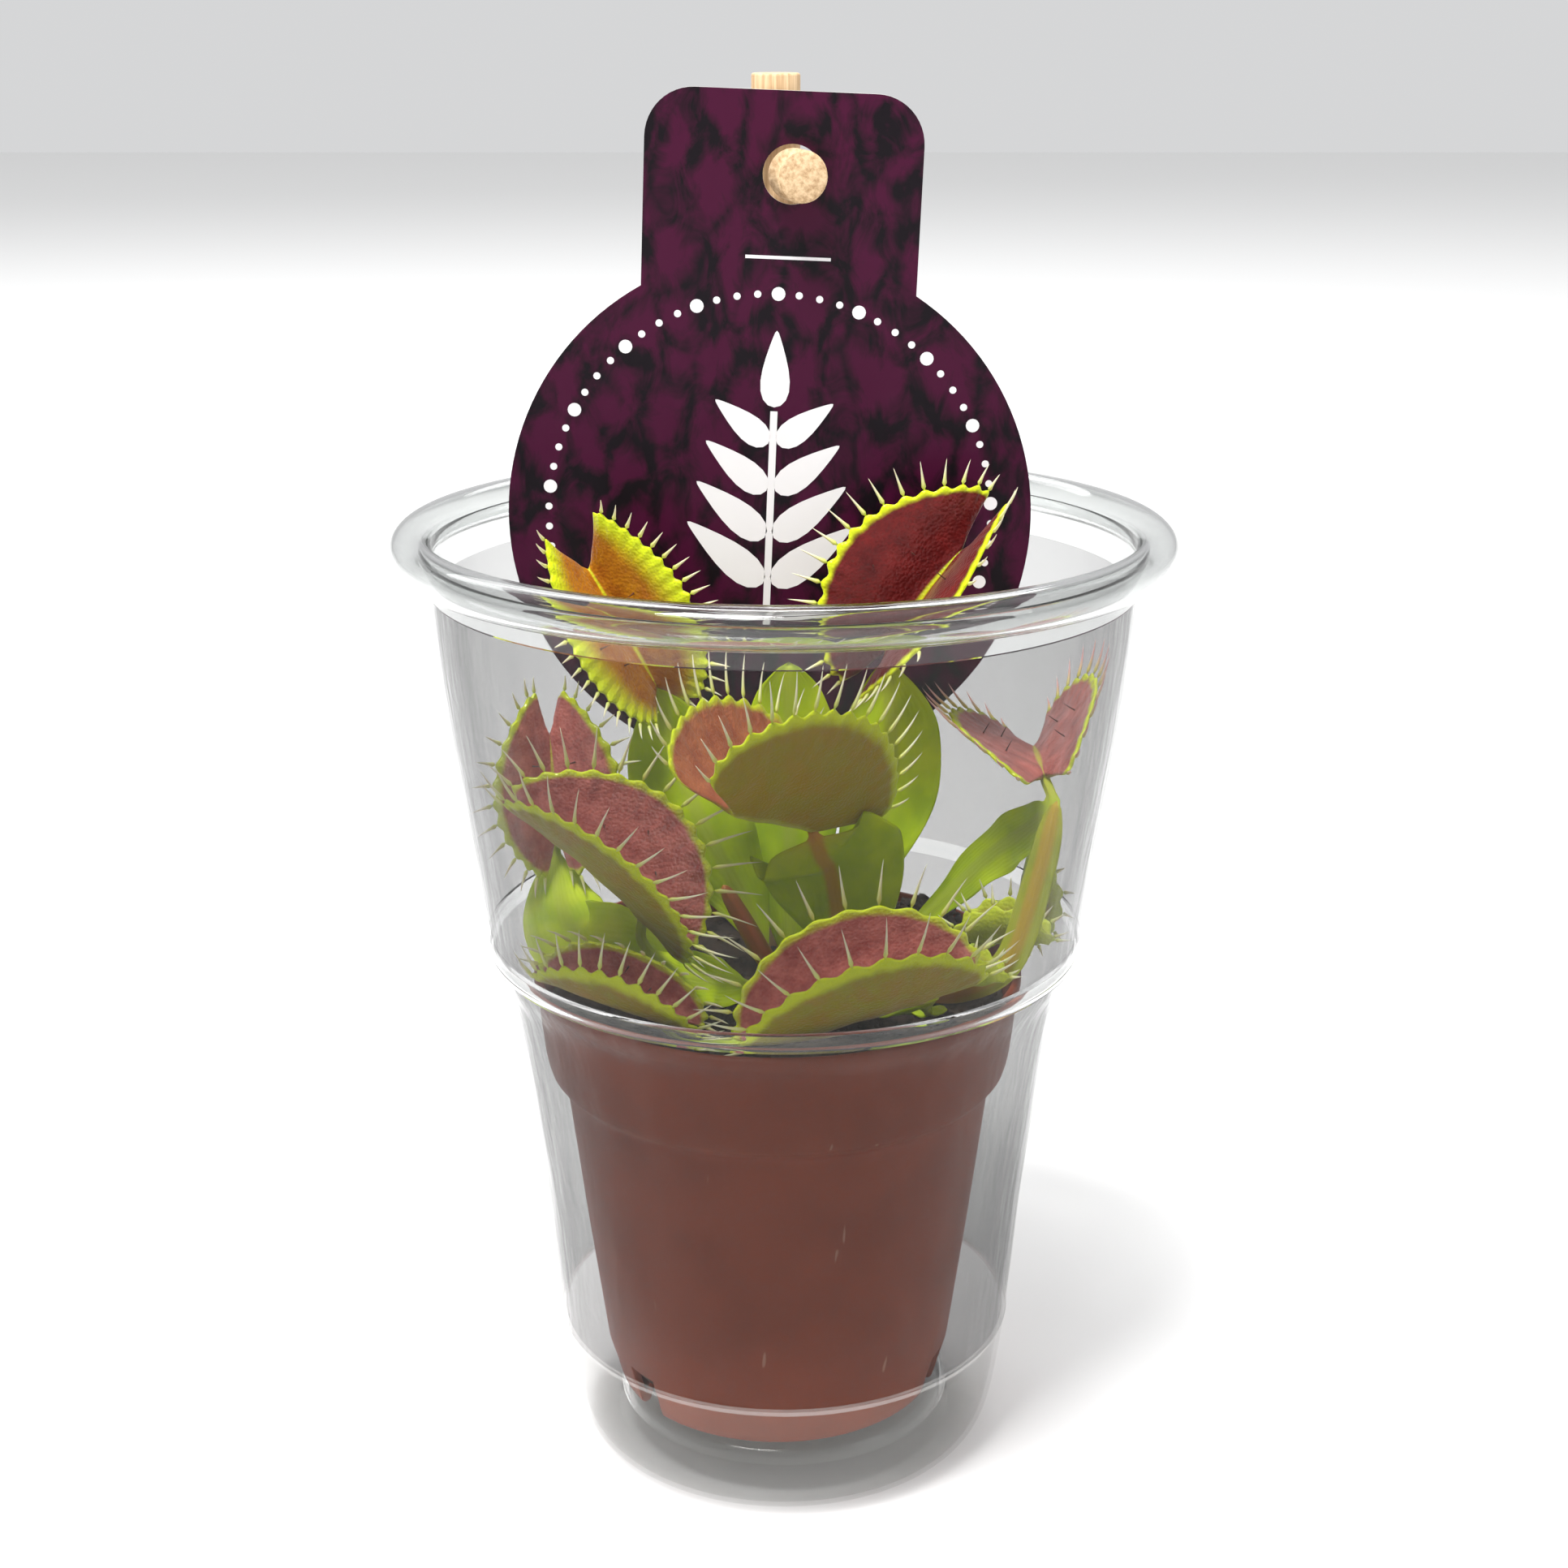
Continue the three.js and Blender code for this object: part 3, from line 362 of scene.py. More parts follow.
crumb_count = 760
crumb_reach = 28 * MM
crumb_spread = (4.6, 4)
crumb_sizes = (0.25, 0.95)
soil_bm = bmesh.new()
turn(soil_bm, in_metres(soil_side), soil_sides)
for vertex in soil_bm.verts:
    if vertex.co.z > soil_level - 0.1 * MM:
        fade = min(1, (soil_reach - vertex.co.xy.length) / edge_fade)
        vertex.co.z += (soil_height(vertex.co.x, vertex.co.y) - soil_level) * fade
random.seed(7)
for crumb_number in range(crumb_count):
    radius = crumb_reach * math.sqrt(random.random())
    turn_angle = random.uniform(0, 2 * math.pi)
    on_mound = crumb_number % 3 == 0
    if on_mound:
        x = mound_place.x + random.gauss(0, crumb_spread[0]) * MM
        y = mound_place.y + random.gauss(0, crumb_spread[1]) * MM
    else:
        x, y = radius * math.cos(turn_angle), radius * math.sin(turn_angle)
    if math.hypot(x, y) > crumb_reach:
        continue
    size = random.uniform(*crumb_sizes) * MM * (1.25 if on_mound else 1)
    crumb = bmesh.ops.create_icosphere(soil_bm, subdivisions=1, radius=size)["verts"]
    for vertex in crumb:
        vertex.co *= random.uniform(0.6, 1.15)
    flat = Matrix.Diagonal((random.uniform(0.6, 1.5), 1, random.uniform(0.5, 0.9), 1))
    spin = Matrix.Rotation(random.uniform(0, 6), 4, "Z") @ Matrix.Rotation(random.uniform(-1, 1), 4, "X")
    bmesh.ops.transform(soil_bm, matrix=Matrix.Translation((x, y, soil_height(x, y) + size * 0.1))
                        @ spin @ flat, verts=crumb)
bmesh.ops.translate(soil_bm, verts=soil_bm.verts, vec=(pot_x, 0, 0))

peat, tree, shader = new_material("peat", {"Roughness": 0.93, "Specular IOR Level": 0.25})
lumps = cloudy(tree, object_place(tree), 520, 6, 0.7)
earth = two_tones(tree, lumps, 0.32, (0.012, 0.009, 0.007), 0.78, (0.11, 0.078, 0.055))
finish_skin(tree, shader, earth, lumps, 0.9, 0.0006)
add_piece("peat_block", soil_bm, [peat], "peat", "soil")


# Wooden stick and peg: raw dowel, sawn to length, the stick upright behind the tag and the peg
# driven into a hole near its top. Straight grain runs along both, and pores show on the sawn ends.
def wood_material(name, grain_scale):
    """Raw pale dowel: fine fibres drawn out along the grain, a little darker between rings."""
    made, tree, shader = new_material(name, {"Roughness": 0.62, "Specular IOR Level": 0.3})
    fibre = cloudy(tree, object_place(tree, grain_scale), 1500, 3, 0.65)
    tone = two_tones(tree, fibre, 0.3, (0.42, 0.25, 0.12), 0.62, (0.76, 0.55, 0.33))
    finish_skin(tree, shader, tone, fibre, 0.4, 0.0002)
    return made


stick_wood = wood_material("stick_wood", (1, 1, 0.04))
peg_wood = wood_material("peg_wood", (1, 0.08, 1))
sawn_wood = wood_material("sawn_wood", (1, 1, 1))


def dowel(bm, start, end, radius, chamfer, sawn_index):
    """A sawn length of dowel with a small round on its edges, its ends in the sawn material."""
    along = end - start
    place = Matrix.Translation((start + end) / 2) @ along.to_track_quat("Z", "Y").to_matrix().to_4x4()
    made = bmesh.ops.create_cone(bm, cap_ends=True, segments=40, radius1=radius, radius2=radius,
                                 depth=along.length, matrix=place)["verts"]
    faces = {face for vertex in made for face in vertex.link_faces}
    ends = [face for face in faces if len(face.verts) > 4]
    for face in ends:
        face.material_index = sawn_index
    rims = list({edge for face in ends for edge in face.edges})
    bmesh.ops.bevel(bm, geom=rims, offset=chamfer, segments=3, profile=0.5, affect="EDGES", material=-1)


stick_low, stick_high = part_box("stick")
stick_x = (stick_low[0] + stick_high[0]) / 2
stick_y = (stick_low[1] + stick_high[1]) / 2
stick_radius = (stick_high[0] - stick_low[0]) / 2
stick_bm = bmesh.new()
dowel(stick_bm, Vector((stick_x, stick_y, stick_low[2])), Vector((stick_x, stick_y, stick_high[2])),
      stick_radius, 0.35 * MM, 1)
add_piece("tag_stick", stick_bm, [stick_wood, sawn_wood], "bare_wood", "stick")

peg_low, peg_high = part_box("stick_peg")
peg_yaw = math.radians(13)
peg_radius = 3.15 * MM
peg_front_y = 10.4 * MM
peg_seat_gap = 0.85 * MM
tenon_radius = 1.6 * MM
tenon_length = 5.2 * MM
peg_z = (peg_low[2] + peg_high[2]) / 2
peg_axis = Vector((math.sin(peg_yaw), -math.cos(peg_yaw), 0))
peg_front = Vector((peg_high[0] - peg_radius * math.cos(peg_yaw), peg_front_y, peg_z))
peg_length = (stick_y - stick_radius - peg_seat_gap - peg_front.y) / math.cos(peg_yaw)
peg_seat = peg_front - peg_axis * peg_length
peg_bm = bmesh.new()
dowel(peg_bm, peg_seat, peg_front, peg_radius, 0.4 * MM, 1)
dowel(peg_bm, peg_seat - peg_axis * tenon_length, peg_seat + peg_axis * 0.5 * MM, tenon_radius,
      0.2 * MM, 1)
add_piece("tag_peg", peg_bm, [peg_wood, sawn_wood], "bare_wood", "stick_peg")


# Card tag: thick white card, die-cut as a disc with a straight neck and a round hole, coated and
# printed dark purple on its front. A white sprig in a ring of dots is printed over the purple.
disc_radius = 33.1 * MM
neck_half = 17 * MM
neck_top = 52.2 * MM
neck_corner = 6 * MM
card_thickness = 0.7 * MM
card_centre = Vector((-1.8, 16.1, 118.6)) * MM
card_lean = math.radians(2.3)
card_place = Matrix.Translation(card_centre) @ Matrix.Rotation(card_lean, 4, "Y")
hole_middle = Vector((1.1, 42.4)) * MM
hole_radius = 3.6 * MM


def arc(middle, radius, start, end, steps):
    """Points along an arc in the card's face, with angles in degrees."""
    turns = [math.radians(start + (end - start) * step / steps) for step in range(steps + 1)]
    return [Vector((middle[0] + radius * math.cos(a), 0, middle[1] + radius * math.sin(a))) for a in turns]


join = math.degrees(math.acos(neck_half / disc_radius))
corner_x = neck_half - neck_corner
corner_z = neck_top - neck_corner
outline = arc((0, 0), disc_radius, 180 - join, 360 + join, 110)
outline += arc((corner_x, corner_z), neck_corner, 0, 90, 12)
outline += arc((-corner_x, corner_z), neck_corner, 90, 180, 12)
card_bm = bmesh.new()
loops = []
for points in (outline, arc(hole_middle, hole_radius, 0, 351, 39)):
    corners = [card_bm.verts.new(point) for point in points]
    loops += [card_bm.edges.new(pair) for pair in zip(corners, corners[1:] + corners[:1])]
bmesh.ops.triangle_fill(card_bm, use_beauty=True, edges=loops, normal=(0, 1, 0))
front = bmesh.ops.extrude_face_region(card_bm, geom=list(card_bm.faces))["geom"]
moved = [item for item in front if isinstance(item, bmesh.types.BMVert)]
bmesh.ops.translate(card_bm, verts=moved, vec=(0, -card_thickness, 0))
bmesh.ops.recalc_face_normals(card_bm, faces=card_bm.faces)
for face in card_bm.faces:
    face.material_index = 0 if face.normal.y < -0.9 else 1
bmesh.ops.transform(card_bm, matrix=card_place, verts=card_bm.verts)

purple_print, tree, shader = new_material("purple_print", {"Roughness": 0.4, "Specular IOR Level": 0.18})
place = object_place(tree, (1, 1, 0.6))
cells = add_node(tree, "TexVoronoi", {"Vector": place, "Scale": 190}, feature="DISTANCE_TO_EDGE")
blotch = number(tree, "MULTIPLY_ADD", cells.outputs["Distance"], 0.9,
                cloudy(tree, place, 260, 4, 0.65, 0.8))
ink = two_tones(tree, blotch, 0.46, (0.004, 0.0015, 0.004), 0.72, (0.05, 0.0015, 0.022))
finish_skin(tree, shader, ink)
white_card, tree, shader = new_material("white_card", {"Roughness": 0.75})
pulp = cloudy(tree, object_place(tree), 1400, 4)
finish_skin(tree, shader, two_tones(tree, pulp, 0, (0.62, 0.6, 0.56), 1, (0.82, 0.81, 0.78)))
card_tag = add_piece("card_tag", card_bm, [purple_print, white_card], "printed_card", "tag")
for polygon in card_tag.data.polygons:
    polygon.use_smooth = False

white_ink, _, _ = new_material("white_ink", {"Base Color": (0.83, 0.81, 0.82, 1), "Roughness": 0.4})
ink_front = -card_thickness - 0.02 * MM
print_bm = bmesh.new()


def on_card(x, z, tilt=0):
    """The matrix that takes a flat shape to a place on the card's face, turned by some degrees."""
    turned = Matrix.Rotation(math.pi / 2, 4, "X") @ Matrix.Rotation(math.radians(tilt), 4, "Z")
    return Matrix.Translation((x, ink_front, z)) @ turned


def print_leaf(x, z, tilt, length, width):
    """One printed leaf, pointed at its end, on the card's face."""
    points = bmesh.ops.create_circle(print_bm, cap_ends=True, segments=20, radius=1)["verts"]
    for vertex in points:
        vertex.co.y *= width * (0.62 - 0.38 * vertex.co.x)
        vertex.co.x = (vertex.co.x + 1) * length / 2
    bmesh.ops.transform(print_bm, matrix=on_card(x, z, tilt), verts=points)


def print_bar(x, z, tilt, length, width):
    """One printed bar on the card's face."""
    points = bmesh.ops.create_grid(print_bm, x_segments=1, y_segments=1, size=0.5)["verts"]
    size = Matrix.Diagonal((length, width, 1, 1))
    bmesh.ops.transform(print_bm, matrix=on_card(x, z, tilt) @ size, verts=points)


print_bar(0, 0.5 * MM, 90, 26 * MM, 0.9 * MM)
print_leaf(0, 14 * MM, 90, 9.5 * MM, 2.6 * MM)
for pair in range(4):
    height, length, width = (-8.6 + 6 * pair) * MM, (12.5 - 1.3 * pair) * MM, (3 - 0.2 * pair) * MM
    print_leaf(0.6 * MM, height, 38, length, width)
    print_leaf(-0.6 * MM, height, 142, length, width)
dot_ring = 28 * MM
dot_gaps = 40
for dot in range(dot_gaps + 1):
    around = math.radians(-15 + 210 * dot / dot_gaps)
    size = (0.85 if dot % 4 == 0 else 0.45) * MM
    spot = bmesh.ops.create_circle(print_bm, cap_ends=True, segments=16, radius=size)["verts"]
    place = on_card(dot_ring * math.cos(around), dot_ring * math.sin(around))
    bmesh.ops.transform(print_bm, verts=spot, matrix=place)
print_bar(1 * MM, 32.4 * MM, 0, 10.5 * MM, 0.4 * MM)
bmesh.ops.transform(print_bm, matrix=card_place, verts=print_bm.verts)
add_piece("card_print", print_bm, [white_ink], "printed_card")


# Leaf blades: each leaf is a flat winged stalk that rises from the crown, with a rib along its
# middle, and narrows to a round stalk under its trap. The skin is bright green and a little waxy.
def leaf_line(points, count):
    """A smooth line through the points, given as places and directions at equal steps."""
    ends = [2 * points[0] - points[1]] + points + [2 * points[-1] - points[-2]]
    line = []
    for before, start, end, after in zip(ends, ends[1:], ends[2:], ends[3:]):
        near, span, far = [(b - a).length ** 0.5 for a, b in ((before, start), (start, end), (end, after))]
        leaving = ((start - before) / near - (end - before) / (near + span) + (end - start) / span) * span
        coming = ((end - start) / span - (after - start) / (span + far) + (after - end) / far) * span
        for step in range(40):
            s = step / 40
            line.append((2 * s ** 3 - 3 * s ** 2 + 1) * start + (s ** 3 - 2 * s ** 2 + s) * leaving
                        + (3 * s ** 2 - 2 * s ** 3) * end + (s ** 3 - s ** 2) * coming)
    line.append(points[-1])
    lengths = [0]
    for a, b in zip(line, line[1:]):
        lengths.append(lengths[-1] + (b - a).length)
    places = []
    index = 0
    for step in range(count + 1):
        want = lengths[-1] * step / count
        while index < len(line) - 2 and lengths[index + 1] < want:
            index += 1
        part = (want - lengths[index]) / max(lengths[index + 1] - lengths[index], 1e-9)
        places.append(line[index].lerp(line[index + 1], part))
    directions = []
    for step in range(count + 1):
        directions.append((places[min(step + 1, count)] - places[max(step - 1, 0)]).normalized())
    return places, directions


STALK = 1.0 * MM
BLADE_EDGE = 0.5 * MM
BLADE_TAPER = 0.35
BLADE_ROWS = 64
BLADE_COLUMNS = 24
TIP_START = 0.9
VALUE_SPAN = 20  # millimetres that a colour value of 1 stands for


def wrapped_sheet(bm, rows, columns, place):
    """A thin closed body. place(along, around) gives a point on its skin and the point's colour
    value, with around running over its upper side and back under its lower side."""
    layers = bm.verts.layers.float_color
    values = layers.get("place") or layers.new("place")
    made = bmesh.ops.create_grid(bm, x_segments=rows, y_segments=columns, size=0.5)["verts"]
    for vertex in made:
        point, value = place(vertex.co.x + 0.5, vertex.co.y + 0.5)
        vertex.co = point
        vertex[values] = value
    bmesh.ops.remove_doubles(bm, verts=made, dist=0.002 * MM)


def blade_skin(leaf, points):
    """The blade's skin as a function for wrapped_sheet."""
    places, directions = leaf_line(points, BLADE_ROWS)
    face = Vector(leaf["face"])
    wing_half = leaf["wing"] * MM
    rib = leaf.get("rib", 1.8) * MM
    closed_tip = leaf.get("closed_tip", False)
    wave = leaf.get("wave", 0.45) * MM

    def skin(along, around):
        step = round(along * BLADE_ROWS)
        t = step / BLADE_ROWS
        tangent = directions[step]
        aside = tangent.cross(face).normalized()
        up = aside.cross(tangent)
        opened = min(max((t - leaf["from"]) / (leaf["to"] - leaf["from"]), 0), 1)
        wing = max(math.sin(math.pi * opened ** leaf["skew"]), 0) ** leaf.get("wing_power", 0.8)
        taper = 1 - BLADE_TAPER * t
        half = STALK * taper + (wing_half - STALK) * wing
        turn_angle = 2 * math.pi * around
        v = -math.cos(turn_angle)
        upper = math.sin(turn_angle)
        thick = BLADE_EDGE + (rib * taper - BLADE_EDGE) * (1 - abs(v)) ** 2
        tip = 1.0
        if closed_tip and t > TIP_START:
            tip = math.sqrt(max(1 - ((t - TIP_START) / 0.1) ** 2, 0))
        wide = max(half - STALK, 0)
        edge_wave = wave * wing * v * v * math.sin(38 * t + (1.5 if v > 0 else 0) + leaf["wing"])
        lift = leaf.get("arch", 0.18) * wide * v * v + edge_wave
        lift += 0.5 * thick * math.copysign(abs(upper) ** 0.6, upper) * tip
        ahead = leaf.get("heart", 0.45) * (wide * v) ** 2 / (wing_half - STALK)
        point = places[step] - aside * (v * half * tip) + up * lift + tangent * ahead
        return point, (t, abs(v) * half / (VALUE_SPAN * MM), wing ** 0.3, abs(v))
    return skin


def skin_values(tree):
    """The four numbers that wrapped_sheet keeps at each point of a skin."""
    where = add_node(tree, "Attribute", attribute_name="place")
    split = add_node(tree, "SeparateColor", {"Color": where.outputs["Color"]})
    return [split.outputs[name] for name in ("Red", "Green", "Blue")] + [where.outputs["Alpha"]]


def leaf_material(name, light, dark, rib_colour, low_colour, tip_colour, low_share):
    """Waxy leaf skin: cloudy green over fine length-wise veins, a rib of its own colour, and its
    ends shaded into other colours."""
    made, tree, shader = new_material(name, {
        "Roughness": 0.42, "Specular IOR Level": 0.1, "Subsurface Weight": 0.08,
        "Subsurface Scale": 0.002, "Subsurface Radius": (0.6, 1.0, 0.15)})
    along, from_rib, winged, aside = skin_values(tree)
    place = object_place(tree)
    cloud = cloudy(tree, place, 170, 5, 0.6)
    colour = two_tones(tree, cloud, 0.34, dark, 0.66, light)
    rib = remapped(tree, from_rib, 0.025, 0.065, 0.85, 0.0, "SMOOTHSTEP")
    colour = blended(tree, rib, colour, rib_colour)
    low = remapped(tree, along, low_share * 0.4, low_share, 1.0, 0.0, "SMOOTHSTEP")
    colour = blended(tree, low, colour, low_colour)
    high = remapped(tree, along, 0.72, 0.98, 0.0, 0.8, "SMOOTHSTEP")
    stalk_end = number(tree, "MULTIPLY", high, number(tree, "SUBTRACT", 1.0, winged))
    colour = blended(tree, stalk_end, colour, tip_colour)
    ridges = number(tree, "MULTIPLY_ADD", aside, 44.0, number(tree, "MULTIPLY", cloud, 14.0))
    veins = number(tree, "SINE", ridges)
    relief = number(tree, "MULTIPLY_ADD", veins, 0.5, cloudy(tree, place, 2200, 2))
    finish_skin(tree, shader, colour, relief, 0.2, 0.0001)
    return made


fresh_green = (0.66, 0.86, 0.003)
deep_green = (0.42, 0.60, 0.002)
blade_green = leaf_material("blade_green", fresh_green, deep_green, (0.50, 0.62, 0.04),
                            (0.34, 0.45, 0.02), (0.42, 0.44, 0.03), 0.3)
# The left leaf's skin: partly its own paler green, partly painted light, lighter colours that lift the
# shade it stands in.
blade_pale_and_painted_light = leaf_material("blade_pale_and_painted_light", (0.82, 0.96, 0.03), (0.52, 0.74, 0.01), (0.62, 0.78, 0.05),
                           (0.26, 0.40, 0.02), (0.42, 0.46, 0.04), 0.3)
blade_orange_rib = leaf_material("blade_orange_rib", (0.50, 0.62, 0.003), (0.32, 0.44, 0.002),
                                 (0.50, 0.24, 0.02), (0.34, 0.32, 0.02), (0.54, 0.22, 0.02), 0.25)
finger_skin = leaf_material("finger_skin", (0.46, 0.50, 0.02), (0.32, 0.38, 0.01), (0.56, 0.36, 0.03),
                            (0.68, 0.19, 0.10), (0.68, 0.46, 0.09), 0.62)
shoot_skin = leaf_material("shoot_skin", (0.52, 0.17, 0.05), (0.27, 0.18, 0.02), (0.58, 0.15, 0.07),
                           (0.30, 0.30, 0.04), (0.34, 0.38, 0.05), 0.3)


# Traps: two kidney-shaped lobes that grow from one keel, green outside and red inside, with a
# yellow-green scalloped margin that carries the teeth, and three dark trigger hairs on each lobe.
KEEL = 1.0 * MM
KEEL_ANGLE = math.radians(66)
LOBE_THICKNESS = 0.8 * MM


def scallop_turn(trap, u, w):
    """How far round its scallop of the margin a place on a lobe is, as an angle."""
    return 2 * math.pi * ((u + 1) / 2 * trap["teeth"] - 0.5 - math.copysign(0.25, w))


def lobe_surface(trap):
    """The middle surface of both lobes. u runs along the keel from -1 at the stalk to 1 at the tip,
    and w from -1 at one margin over 0 at the keel to 1 at the other."""
    keel_length = trap["keel"] * MM
    reach = trap["reach"] * MM
    droop = trap["droop"] * MM
    fan = math.radians(trap["fan"])
    start = math.radians(trap["opening"] + trap["curl"])
    bend = 2 * math.radians(trap["curl"]) / (reach - KEEL)
    half_length = keel_length / 2 + reach * 0.5

    def surface(u, w):
        u = min(max(u, -1), 1)
        ear = trap["tip_ear"] if u > 0 else trap["stalk_ear"]
        rib = reach * (ear + (1 - ear) * math.sqrt(max(1 - abs(u) ** 2.6, 0))) * abs(w)
        crest = 0.5 + 0.5 * math.cos(scallop_turn(trap, u, w))
        near_margin = min(max((abs(w) - 0.86) / 0.14, 0), 1) ** 2
        rib += (crest - 0.6) * near_margin * 0.7 * MM
        spread = fan * u
        a = keel_length / 2 * u + rib * math.sin(spread)
        b = rib * math.cos(spread)
        in_keel = min(b, KEEL)
        y = in_keel * math.sin(KEEL_ANGLE)
        z = in_keel * math.cos(KEEL_ANGLE)
        if b > KEEL:
            angle = start - bend * (b - KEEL)
            y += (math.cos(angle) - math.cos(start)) / bend
            z += (math.sin(start) - math.sin(angle)) / bend
        end = (a / half_length) ** 2
        return Vector((a, math.copysign(y * (1 - 0.3 * end), w), z - droop * end))
    return surface


def lobe_normal(surface, u, w):
    """The direction into the trap's mouth, square to a lobe."""
    along_u = surface(u + 0.01, w) - surface(u - 0.01, w)
    along_w = surface(u, min(w + 0.02, 1)) - surface(u, max(w - 0.02, -1))
    return along_u.cross(along_w).normalized()


def trap_skin(trap, surface):
    """The skin of both lobes as a function for wrapped_sheet: inside first, then outside."""
    seed = Vector(trap["at"]) * 3.7

    def skin(along, around):
        u = math.sin(math.pi * (along - 0.5)) * 0.35 + (2 * along - 1) * 0.65
        turn_angle = 2 * math.pi * around
        level = -math.cos(turn_angle)
        inside = math.sin(turn_angle)
        w = math.copysign(abs(level) ** 1.25, level)
        centre = surface(u, w)
        normal = lobe_normal(surface, u, w)
        at_ends = math.sqrt(max(1 - abs(2 * along - 1) ** 14, 0))
        half = 0.5 * LOBE_THICKNESS * at_ends * abs(inside) ** 0.4
        from_keel = (centre - surface(u, 0)).length
        if inside < 0:
            half += 0.5 * MM * math.exp(-((from_keel / (1.3 * MM)) ** 2)) * at_ends
        ripple = noise.noise(centre * 260 + seed) * 0.22 * MM * (1 - abs(w) ** 4)
        flute = math.cos(scallop_turn(trap, u, w)) * 0.1 * MM * max(abs(w) - 0.6, 0) / 0.4
        point = centre + normal * (math.copysign(half, inside) + ripple + flute)
        to_margin = (1 - abs(w)) * trap["reach"] / VALUE_SPAN
        inner = 1.0 if inside > 0 else 0.0
        return point, (0.5 + 0.5 * u, to_margin, inner, abs(w))
    return skin


def spine_skin(foot, along_line, aside, length, thick, bow):
    """A slender tapering spine, wider at its foot, that bows to one side."""
    across = along_line.cross(aside).normalized()
    side = across.cross(along_line).normalized()

    def skin(t, around):
        body = thick * (1 - t) ** 0.75 if t > 0.01 else 0
        flare = thick * 1.1 * math.exp(-9 * t) if 0.01 < t < 0.99 else 0
        turn_angle = 2 * math.pi * around
        centre = foot + along_line * (length * (t * 1.05 - 0.05)) + across * (bow * length * t * (1 - t))
        point = centre + side * ((body + flare) * math.cos(turn_angle))
        point += across * (body * math.sin(turn_angle))
        return point, (t, 0, 1, 0)
    return skin


def lining_material(name, light, dark, margin, outside, stain, margin_width, blend, gloss, shine):
    """Skin of a trap: glossy granular lining, a pale margin that blends into it over a width in
    millimetres, half as wide again outside, a pale line along the keel, and a stained outside."""
    made, tree, shader = new_material(name, {
        "Roughness": gloss, "Specular IOR Level": shine, "Sheen Weight": 0.28, "Sheen Roughness": 0.35,
        "Sheen Tint": (1, 0.82, 0.78, 1), "Subsurface Weight": 0.08,
        "Subsurface Scale": 0.0015, "Subsurface Radius": (1.0, 0.6, 0.2)})
    _, from_margin, inside, from_keel = skin_values(tree)
    place = object_place(tree)
    cloud = cloudy(tree, place, 420, 5, 0.62)
    glands = add_node(tree, "TexVoronoi", {"Vector": place, "Scale": 2400}).outputs["Distance"]
    red = two_tones(tree, cloud, 0.32, dark, 0.68, light)
    red = blended(tree, remapped(tree, glands, 0.15, 0.5, 0.35, 0.0), red, dark)
    green = two_tones(tree, cloudy(tree, place, 260, 5, 0.7), 0.36, stain, 0.6, outside)
    face = blended(tree, inside, green, red)
    spread = number(tree, "MULTIPLY_ADD", inside, 0.36, 0.64)
    inwards = number(tree, "MULTIPLY", from_margin, spread)
    ragged = number(tree, "MULTIPLY_ADD", cloud, -0.05, inwards)
    band = remapped(tree, ragged, (margin_width - blend / 2) / VALUE_SPAN - 0.025,
                    (margin_width + blend / 2) / VALUE_SPAN - 0.025, 1.0, 0.0, "SMOOTHSTEP")
    keel_line = remapped(tree, from_keel, 0.01, 0.06, 0.6, 0.0, "SMOOTHSTEP")
    colour = blended(tree, number(tree, "MAXIMUM", band, keel_line), face, margin)
    relief = number(tree, "MULTIPLY_ADD", glands, -1.0, cloud)
    finish_skin(tree, shader, colour, relief, 0.45, 0.0002)
    return made


OUTSIDE_GLOSS = 0.42
OUTSIDE_SHINE = 0.2


def trap_skins(name, *looks, gloss, shine):
    """The wet looking skin of a trap's inside and the duller one of its outside."""
    return [lining_material(name + "_inside", *looks, gloss, shine),
            lining_material(name + "_outside", *looks, OUTSIDE_GLOSS, OUTSIDE_SHINE)]


def tooth_material(name, foot, tip):
    """Smooth horny tooth that fades from its foot to its tip."""
    made, tree, shader = new_material(name, {"Roughness": 0.4, "Subsurface Weight": 0.15,
                                             "Subsurface Scale": 0.001})
    finish_skin(tree, shader, two_tones(tree, skin_values(tree)[0], 0.05, foot, 0.6, tip))
    return made


margin_green = (0.60, 0.70, 0.006)
olive = (0.29, 0.26, 0.004)
brown_stain = (0.33, 0.195, 0.008)
maroon_skins = trap_skins("maroon_skin", (0.66, 0.21, 0.17), (0.33, 0.066, 0.055), margin_green,
                          olive, brown_stain, 0.9, 0.9, gloss=0.23, shine=0.95)
russet_skins = trap_skins("russet_skin", (0.56, 0.19, 0.07), (0.34, 0.08, 0.03), margin_green,
                          (0.30, 0.235, 0.001), (0.34, 0.205, 0.001), 0.9, 1.2, gloss=0.3, shine=0.6)
orange_skins = trap_skins("orange_skin", (0.46, 0.19, 0.006), (0.30, 0.085, 0.004), (0.60, 0.70, 0.008),
                          (0.44, 0.54, 0.01), (0.38, 0.36, 0.01), 2.6, 4.6, gloss=0.36, shine=0.3)
crimson_skins = trap_skins("crimson_skin", (0.16, 0.010, 0.009), (0.08, 0.004, 0.004), margin_green,
                           (0.30, 0.38, 0.02), brown_stain, 0.8, 1.0, gloss=0.28, shine=0.35)
green_skins = trap_skins("green_skin", (0.42, 0.46, 0.04), (0.36, 0.24, 0.03), (0.60, 0.70, 0.03),
                         (0.36, 0.46, 0.015), (0.32, 0.33, 0.015), 1.2, 1.6, gloss=0.4, shine=0.3)
pale_teeth = tooth_material("pale_teeth", (0.66, 0.74, 0.08), (0.86, 0.80, 0.56))
pink_teeth = tooth_material("pink_teeth", (0.62, 0.62, 0.10), (0.80, 0.44, 0.42))
trigger_hair = tooth_material("trigger_hair", (0.09, 0.03, 0.02), (0.05, 0.02, 0.015))
trigger_places = ((-0.3, 0.42), (0.3, 0.42), (0.0, 0.62))


